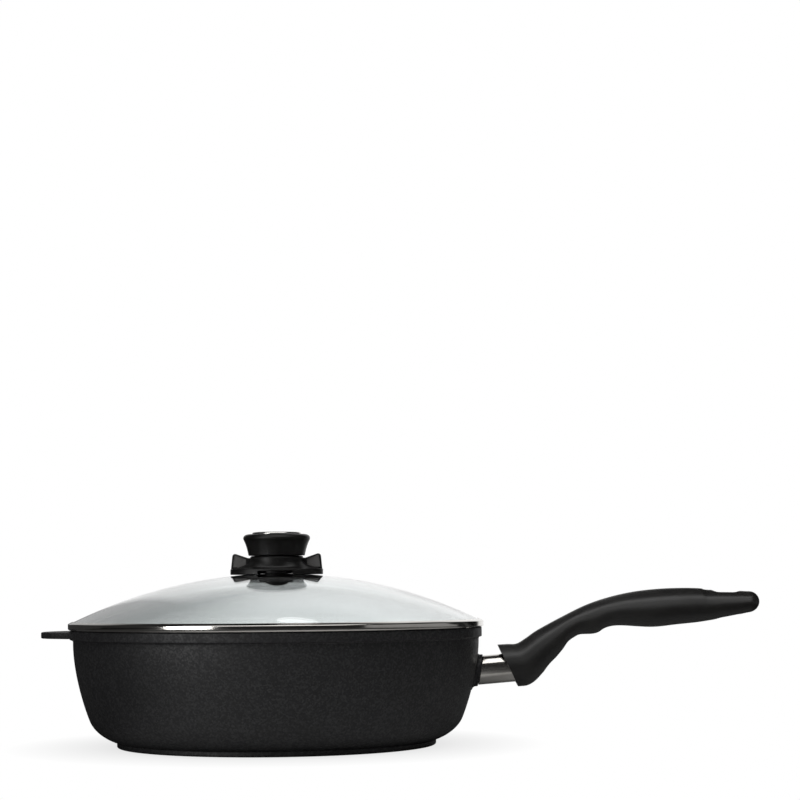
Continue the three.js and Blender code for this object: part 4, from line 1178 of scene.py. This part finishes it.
def disc_outline():
    bottom, top = [corner.z for corner in span("knob_cap")]
    edge_top = top - CAP_CROWN
    rim_part = outline((0, bottom), (CAP_RADIUS, bottom, CAP_FOOT_EDGE), (CAP_RADIUS, edge_top, CAP_EDGE),
                       (CAP_RADIUS / 2, edge_top + CAP_TILT))[:-1]
    pull = (CAP_RADIUS * CAP_PULL_OUT, edge_top + CAP_CROWN * CAP_PULL_UP)
    crown_part = bezier((CAP_RADIUS - CAP_EDGE, edge_top), pull, (CAP_RADIUS / 2, top), (0, top),
                        KNOB_CURVE_STEPS)[1:]
    return rim_part + crown_part + [Vector((0, top))]


knob = turn("knob_grip_moulded", knob_outline(), knob_phenolic_painted_shade, KNOB_STEPS)
finish(knob, knob_phenolic_painted_shade, "lid", "phenolic", "knob_grip")
disc = turn("knob_disc_spun", disc_outline(), disc_steel, KNOB_STEPS)
finish(disc, disc_steel, "lid", "stainless", "knob_cap")

# %% [markdown]
# ## Turning collar
# Below the grip a collar turns on a fixed hub. Its foot is an oval flange that rises into a round
# barrel, in a long hollow towards its two ends and steeply in front. An oval that changes into a
# circle can't be turned, so the body is skinned from ovals, and back down along its bore.

# %% Turning collar body
HUB_RADIUS = 13.0
HUB_FLANGE = 3.0
HUB_FLANGE_HEIGHT = 3.0
RUN_GAP = 0.3
COLLAR_WALL = 5.6
COLLAR_SKIRT = 6.7
COLLAR_EDGE = 4.0
COLLAR_FLARE = 6.6
FLARE_STEPS = 16
FLARE_BEND = 2.2
FRONT_BEND = 14.0
COLLAR_SHOULDER = 1.4
FOOT_SHARES = (0, 0.25, 0.5, 0.75)

collar_low, collar_high = span("vent_collar")
hub_low = span("vent_hub")[0]
collar_base = collar_low.z
collar_top = knob_base - RUN_GAP
fin_tip = collar_high.x
barrel = HUB_RADIUS + RUN_GAP + COLLAR_WALL
flange_half = HUB_RADIUS + HUB_FLANGE + RUN_GAP + COLLAR_SKIRT


def flat_oval(long, wide, height, steps=KNOB_STEPS):
    angles = [2 * pi * i / steps for i in range(steps)]
    return [(long * cos(a), wide * sin(a), height) for a in angles]


def above_dome(ring):
    """Lift the points of a ring that are too close to the glass."""
    clear = DOME_RADIUS + RUN_GAP
    return [(x, y, max(z, dome_height(sqrt(x * x + y * y), clear))) for x, y, z in ring]


def collar_body():
    bore, recess = HUB_RADIUS + RUN_GAP, HUB_RADIUS + HUB_FLANGE + RUN_GAP
    recess_top = hub_low.z + HUB_FLANGE_HEIGHT + RUN_GAP
    edge_top = collar_base + COLLAR_EDGE
    rings = []
    for share in FOOT_SHARES:
        long = recess + (fin_tip - SOFT_EDGE - recess) * share
        wide = recess + (flange_half - SOFT_EDGE - recess) * share
        rings.append(above_dome(flat_oval(long, wide, collar_base)))
    for turn_up in QUARTER:
        back, up = SOFT_EDGE * (1 - sin(turn_up)), SOFT_EDGE * (1 - cos(turn_up))
        rings.append(above_dome(flat_oval(fin_tip - back, flange_half - back, collar_base + up)))
    for turn_up in QUARTER:
        back, up = SOFT_EDGE * (1 - cos(turn_up)), SOFT_EDGE * sin(turn_up)
        rings.append(flat_oval(fin_tip - back, flange_half - back, edge_top - SOFT_EDGE + up))
    for i in range(1, FLARE_STEPS + 1):
        rise = i / FLARE_STEPS
        long = barrel + (fin_tip - SOFT_EDGE - barrel) * (1 - rise) ** FLARE_BEND
        wide = barrel + (flange_half - SOFT_EDGE - barrel) * (1 - rise) ** FRONT_BEND
        rings.append(flat_oval(long, wide, edge_top + COLLAR_FLARE * rise))
    for turn_in in QUARTER:
        round_in = barrel - COLLAR_SHOULDER * (1 - cos(turn_in))
        rings.append(flat_oval(round_in, round_in, collar_top - COLLAR_SHOULDER * (1 - sin(turn_in))))
    rings += [flat_oval(bore, bore, collar_top), flat_oval(bore, bore, recess_top),
              flat_oval(recess, recess, recess_top)]
    return skin("vent_collar_moulded", rings, tube=True)


print("barrel radius", round(barrel, 1), "mm")

# %% [markdown]
# Two fins stand on the ends of the flange as finger tabs. Each is a plate with soft edges that
# rises past the knob's waist, and a grained panel is sunk in each of its faces.

# %% Turning collar fins
FIN_STEP = 1.3
FIN_RISE = 3.7
FIN_THICKNESS = 5.0
FIN_LEAN = 1.7
FIN_CORNER = 2.0
FIN_EDGE = 0.7
FIN_EDGE_FACETS = 4
FIN_BORDER = 1.3
FIN_PANEL_DEPTH = 0.5
FIN_SINK = 2.2
FIN_SETBACK = 0.2
FIN_PANEL_SLANT = 0.5

fin_clear = KNOB_WAIST + RUN_GAP
fin_root_top = collar_top - FIN_STEP
fin_outer_top = fin_root_top + FIN_RISE


def fin(side):
    """A finger tab along +X or -X: a plate with soft edges."""
    root, low = barrel - FIN_SINK, collar_base + SOFT_EDGE
    shape = outline((root, low), (fin_tip - FIN_SETBACK, low),
                    (fin_tip - FIN_LEAN, fin_outer_top, FIN_CORNER), (fin_clear, fin_root_top),
                    (root, fin_root_top))
    front = [(side * p.x, -FIN_THICKNESS / 2, p.y) for p in shape]
    back = [(x, FIN_THICKNESS / 2, z) for x, y, z in front]
    plate = skin("fin", [front, back])
    soft = bmesh.new()
    soft.from_mesh(plate.data)
    rims = [e for e in soft.edges if abs(e.verts[0].co.y - e.verts[1].co.y) < FIN_EDGE * MM]
    bmesh.ops.bevel(soft, geom=rims, offset=FIN_EDGE * MM, segments=FIN_EDGE_FACETS, affect="EDGES",
                    profile=0.5)
    soft.to_mesh(plate.data)
    soft.free()
    return plate


def panel_cutter(side, face):
    """The block that sinks one panel of a fin."""
    low = collar_base + COLLAR_EDGE + FIN_BORDER
    corners = [(fin_clear + FIN_BORDER, low), (fin_tip - FIN_BORDER - FIN_PANEL_SLANT, low),
               (fin_tip - FIN_LEAN - FIN_BORDER, fin_outer_top - FIN_BORDER),
               (fin_clear + FIN_BORDER, fin_root_top - FIN_BORDER / 2)]
    inner, outer = FIN_THICKNESS / 2 - FIN_PANEL_DEPTH, FIN_THICKNESS
    return skin("panel", [[(side * x, face * y, z) for x, z in corners] for y in (inner, outer)])


print("fins reach", round(fin_tip, 1), "mm from the axis")

# %% [markdown]
# Body and fins are one moulding, so they are united. A bar cut through its foot leaves a notch in front and
# behind. A quarter turn brings the notches over the steam ports of the hub. The faces at the depth of the
# panels then get the grained finish, whose pale grey is partly a painted highlight.

# %% Turning collar in one piece
VENT_WIDTH = 24.6
VENT_HEIGHT = 2.6
VENT_CLEAR = 2.0
PANEL_NEAR = 0.01
PANEL_FACING = 0.99

window = bar("window", VENT_WIDTH / 2, 2 * flange_half, collar_base - VENT_CLEAR, collar_base + VENT_HEIGHT)
fins = [combine(fin(side), "DIFFERENCE", panel_cutter(side, -1), panel_cutter(side, 1)) for side in (1, -1)]
collar = combine(combine(collar_body(), "UNION", *fins), "DIFFERENCE", window)
finish(collar, knob_phenolic_painted_shade, "collar", "phenolic", "vent_collar")
collar.data.materials.append(grain_and_painted_highlight_phenolic)
panel_depth = (FIN_THICKNESS / 2 - FIN_PANEL_DEPTH) * MM
panels = [face for face in collar.data.polygons
          if abs(abs(face.center.y) - panel_depth) < PANEL_NEAR * MM and abs(face.normal.y) > PANEL_FACING]
for face in panels:
    face.material_index = 1
print("grained panel faces:", len(panels))

# %% [markdown]
# ## Knob fixing below the glass
# The knob is held by a broad headed screw from below, on a washer and a rubber ring. They show
# as a dark button through the glass.

# %% Knob fixing below the glass
KNOB_HEAD_RADIUS = 8.0
KNOB_HEAD_HEIGHT = 2.2
LOWER_WASHER_EDGE = 0.4
washer_low, washer_high = span("lower_washer")
head_seat_below = washer_low.z - SEAT_GAP
knob_screw = dome_head_screw("knob_screw_blackened", insert_top - FIT_GAP - head_seat_below, SCREW_RADIUS,
                            KNOB_HEAD_RADIUS, KNOB_HEAD_HEIGHT)
upside_down = Matrix.Translation((0, 0, head_seat_below * MM)) @ Matrix.Rotation(pi, 4, "X")
knob_screw.data.transform(upside_down)
finish(knob_screw, black_steel, "lid", "blackened_steel", "knob_screw")
washer_ring = washer_outline(SCREW_RADIUS + FIT_GAP, washer_high.x, washer_low.z, washer_high.z,
                             LOWER_WASHER_EDGE)
lower_washer = turn("knob_washer_blackened", washer_ring, black_steel)
finish(lower_washer, black_steel, "lid", "blackened_steel", "lower_washer")

# %% [markdown]
# ## Pieces kept from the frame
# The hub, the gaskets and the insert are almost hidden, and their solids are already right, so
# they keep the CAD mesh and only get their finish.

# %% Pieces kept from the frame
# The hub gets the knob's copy of the resin, with its painted shade.
KEPT = {"vent_hub": knob_phenolic_painted_shade, "hub_gasket": silicone, "lower_gasket": silicone, "knob_insert": brass}
for node, material in KEPT.items():
    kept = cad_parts[node]
    kept.data.materials.clear()
    kept.data.materials.append(material)
print("kept from the frame:", ", ".join(KEPT))

# %% [markdown]
# ## Studio
# The photograph is a cut-out on white. Its bright steel shows what stood round the pan: a broad soft box
# above and in front, a card at the front left, a pale panel on the right and a dark room. The table is white
# for the camera, with a faint shadow at the foot: the real shadow shows only inside a ring round the foot,
# and that ring is also painted greyer, a painted shadow. Reflections see two pools of light painted into the
# table's colour, in front of the pan and under the handle, with painted shade round them, because the dark
# half of the lid's band and the dark sides of the pan show that the lit part of it ended there.

# %% Studio floor
FLOOR_RADIUS = 12.0
FLOOR_SIDES = 96
# The ring where the table's real shadow shows; the table is also painted greyer inside it, a painted shadow.
SHADOW_START = 0.11
SHADOW_END = 0.19
SHADOW_SHARE = 0.22
PAINTED_TABLE_SHADE = 0.08
# Each painted pool of light: centre, radius that is painted fully lit, radius where it ends, and how pale it
# is painted
PAINTED_LIGHT_POOLS = (((0.04, -0.2, 0.0), 0.12, 0.25, 0.68), ((0.27, -0.02, 0.0), 0.06, 0.2, 0.5))


def shown_to_camera(tree, rays):
    """1 for rays from the camera and for those that come through the glass, 0 for all others."""
    return add(tree, "ShaderNodeMath", {
        0: rays["Is Camera Ray"], 1: rays["Is Transmission Ray"]}, operation="MAXIMUM").outputs[0]


def table_painted_pools_material():
    """White for the camera, with a faint shadow at the foot in a painted grey ring; in reflections two
    painted pools of light with painted shade round them.
    """
    material, tree, place = new_material("white_table_painted_pools")
    away = add(tree, "ShaderNodeVectorMath", {0: place}, operation="LENGTH").outputs["Value"]
    near = add(tree, "ShaderNodeMapRange", {
        "Value": away, "From Min": SHADOW_START, "From Max": SHADOW_END,
        "To Min": SHADOW_SHARE, "To Max": 0.0})
    paper = add(tree, "ShaderNodeBsdfDiffuse", {"Color": linear("9a9a9a")})
    glow = add(tree, "ShaderNodeEmission", {"Color": linear("ffffff"), "Strength": 1.0})
    seen = add(tree, "ShaderNodeMixShader", {
        0: near.outputs["Result"], 1: glow.outputs[0], 2: paper.outputs[0]})
    lit = []
    # Painted light: for reflections the table's colour is pale in each pool and dark between them.
    for centre, bright, dark, pale in PAINTED_LIGHT_POOLS:
        far = add(tree, "ShaderNodeVectorMath", {0: place, 1: centre}, operation="DISTANCE")
        lit.append(add(tree, "ShaderNodeMapRange", {
            "Value": far.outputs["Value"], "From Min": bright, "From Max": dark, "To Min": pale,
            "To Max": PAINTED_TABLE_SHADE}, interpolation_type="SMOOTHSTEP").outputs["Result"])
    pool = add(tree, "ShaderNodeMath", {0: lit[0], 1: lit[1]}, operation="MAXIMUM")
    mirrored = add(tree, "ShaderNodeBsdfDiffuse", {"Color": pool.outputs[0]})
    rays = add(tree, "ShaderNodeLightPath").outputs
    inner = add(tree, "ShaderNodeMixShader", {
        0: rays["Is Glossy Ray"], 1: paper.outputs[0], 2: mirrored.outputs[0]})
    whole = add(tree, "ShaderNodeMixShader", {
        0: shown_to_camera(tree, rays), 1: inner.outputs[0], 2: seen.outputs[0]})
    add(tree, "ShaderNodeOutputMaterial", {"Surface": whole.outputs[0]})
    return material


def stage_sheet(name, corners, material):
    """One flat face of the studio, in millimetres, that is no piece of the pan."""
    sheet = mesh_object(name, corners, [tuple(range(len(corners)))])
    sheet.data.materials.append(material)


stage_sheet("table", flat_oval(FLOOR_RADIUS / MM, FLOOR_RADIUS / MM, 0, FLOOR_SIDES), table_painted_pools_material())
print("floor radius", FLOOR_RADIUS, "m")

# %% [markdown]
# Behind the pan hangs a paper backdrop. The camera looks past it into plain white. The paper glows, and its
# glow is painted: through the glass it is painted darker to the left, as the lid in the photograph does, a
# painted shade, and in reflections it is painted bright on the right and along the table, a painted
# reflection which is what whitens the right half of the dome.

# %% Studio backdrop
BACKDROP_DEPTH = 600
BACKDROP_HALF_WIDTH = 2500
BACKDROP_HEIGHT = 1300
PAINTED_PAPER_DARK = 0.006
# Painted fades of the paper's glow, in metres: across or up, where each starts and ends, and its two levels
PAINTED_GLOW_FADES = {
    "through": ("X", -0.27, -0.02, 0.4, 1.0),
    "right": ("X", -0.25, 0.15, 0.03, 1.0),
    "right_top": ("Z", 0.65, 0.95, 1.0, 0.0),
    "right_end": ("X", 0.26, 0.36, 1.0, 0.0),
    "low": ("Z", 0.4, 0.65, 1.0, 0.0),
    "low_left": ("X", -0.28, -0.2, 0.0, 1.0),
    "above": ("Z", 0.1, 0.16, 0.0, 0.46),
    "far_left": ("X", -0.5, -0.35, 0.0, 1.0),
    "edge": ("X", 0.45, 0.53, 1.0, 0.0),
}
# How they are put together: a result, how it is worked out, and from which two
PAINTED_GLOW_SUMS = (
    ("lit_side", "MULTIPLY", "right", "right_end"),
    ("lit_right", "MULTIPLY", "lit_side", "right_top"),
    ("left_end", "MULTIPLY", "above", "far_left"),
    ("left", "MAXIMUM", "left_end", "low_left"),
    ("strip", "MULTIPLY", "low", "left"),
    ("lit", "MAXIMUM", "lit_right", "strip"),
)


def backdrop_painted_glow_material():
    """Clear for the camera, painted darker to the left through the glass, painted bright in parts for
    reflections.
    """
    material, tree, place = new_material("paper_backdrop_painted_glow")
    axes = add(tree, "ShaderNodeSeparateXYZ", {0: place}).outputs
    levels = {}
    for name, (axis, start, end, low, high) in PAINTED_GLOW_FADES.items():
        levels[name] = add(tree, "ShaderNodeMapRange", {
            "Value": axes[axis], "From Min": start, "From Max": end, "To Min": low, "To Max": high},
            interpolation_type="SMOOTHSTEP").outputs["Result"]
    for name, how, first, second in PAINTED_GLOW_SUMS:
        both = {0: levels[first], 1: levels[second]}
        levels[name] = add(tree, "ShaderNodeMath", both, operation=how).outputs[0]
    # Painted light and shade: the glow that reflections and the glass see.
    mirrored = add(tree, "ShaderNodeMath", {
        0: levels["lit"], 1: levels["edge"], 2: PAINTED_PAPER_DARK}, operation="MULTIPLY_ADD")
    rays = add(tree, "ShaderNodeLightPath").outputs
    strength = add(tree, "ShaderNodeMix", {
        0: rays["Is Transmission Ray"], 2: mirrored.outputs[0], 3: levels["through"]})
    paper = add(tree, "ShaderNodeEmission", {"Strength": strength.outputs[0]})
    clear = add(tree, "ShaderNodeBsdfTransparent")
    whole = add(tree, "ShaderNodeMixShader", {
        0: rays["Is Camera Ray"], 1: paper.outputs[0], 2: clear.outputs[0]})
    add(tree, "ShaderNodeOutputMaterial", {"Surface": whole.outputs[0]})
    return material


left_foot, right_foot = (-BACKDROP_HALF_WIDTH, BACKDROP_DEPTH, 0), (BACKDROP_HALF_WIDTH, BACKDROP_DEPTH, 0)
left_head, right_head = (*left_foot[:2], BACKDROP_HEIGHT), (*right_foot[:2], BACKDROP_HEIGHT)
stage_sheet("backdrop", [left_foot, right_foot, right_head, left_head], backdrop_painted_glow_material())
print("backdrop", BACKDROP_DEPTH, "mm behind the pan's axis")

# %% [markdown]
# The lamps are area lights. Their size sets how soft a highlight is, and their radiance how
# bright its middle looks, so each has both written down. The world is white for the camera and
# through the glass, and a dark room for everything else.

# %% Studio world and lamps
ROOM = 0.03
# Each lamp: name, shape, place, what it points at, width and height in metres, and radiance
LAMPS = (
    ("broad_box_above", "RECTANGLE", (0, -0.71, 1.17), (0, 0, 0.06), 2.0, 1.12, 2.0),
    ("box_behind", "ELLIPSE", (0.03, 0.55, 0.94), (0, 0, 0.09), 0.13, 0.07, 1.1),
    ("front_left_card", "RECTANGLE", (-1.13, -1.2, 0.12), (0, 0, 0.09), 0.73, 0.35, 8.5),
    ("right_panel", "RECTANGLE", (1.0, -0.15, 0.11), (0, 0, 0.1), 1.3, 0.22, 0.3),
)


def studio_world():
    world = bpy.data.worlds.new("studio")
    bpy.context.scene.world = world
    world.use_nodes = True
    tree = world.node_tree
    tree.nodes.clear()
    shown = shown_to_camera(tree, add(tree, "ShaderNodeLightPath").outputs)
    level = add(tree, "ShaderNodeMix", {0: shown, 2: ROOM, 3: 1.0})
    sky = add(tree, "ShaderNodeBackground", {"Color": linear("ffffff"), "Strength": level.outputs[0]})
    add(tree, "ShaderNodeOutputWorld", {"Surface": sky.outputs[0]})


def soft_box(name, shape, place, target, width, height, radiance):
    lamp = bpy.data.lights.new(name, "AREA")
    lamp.shape = shape
    lamp.size = width
    lamp.size_y = height
    lamp.energy = radiance * pi * width * height
    stand = bpy.data.objects.new(name, lamp)
    stand.location = place
    stand.rotation_euler = (Vector(target) - Vector(place)).to_track_quat("-Z", "Y").to_euler()
    stand.visible_camera = False
    bpy.context.scene.collection.objects.link(stand)


studio_world()
for lamp in LAMPS:
    soft_box(*lamp)
print("lamps:", [lamp[0] for lamp in LAMPS])
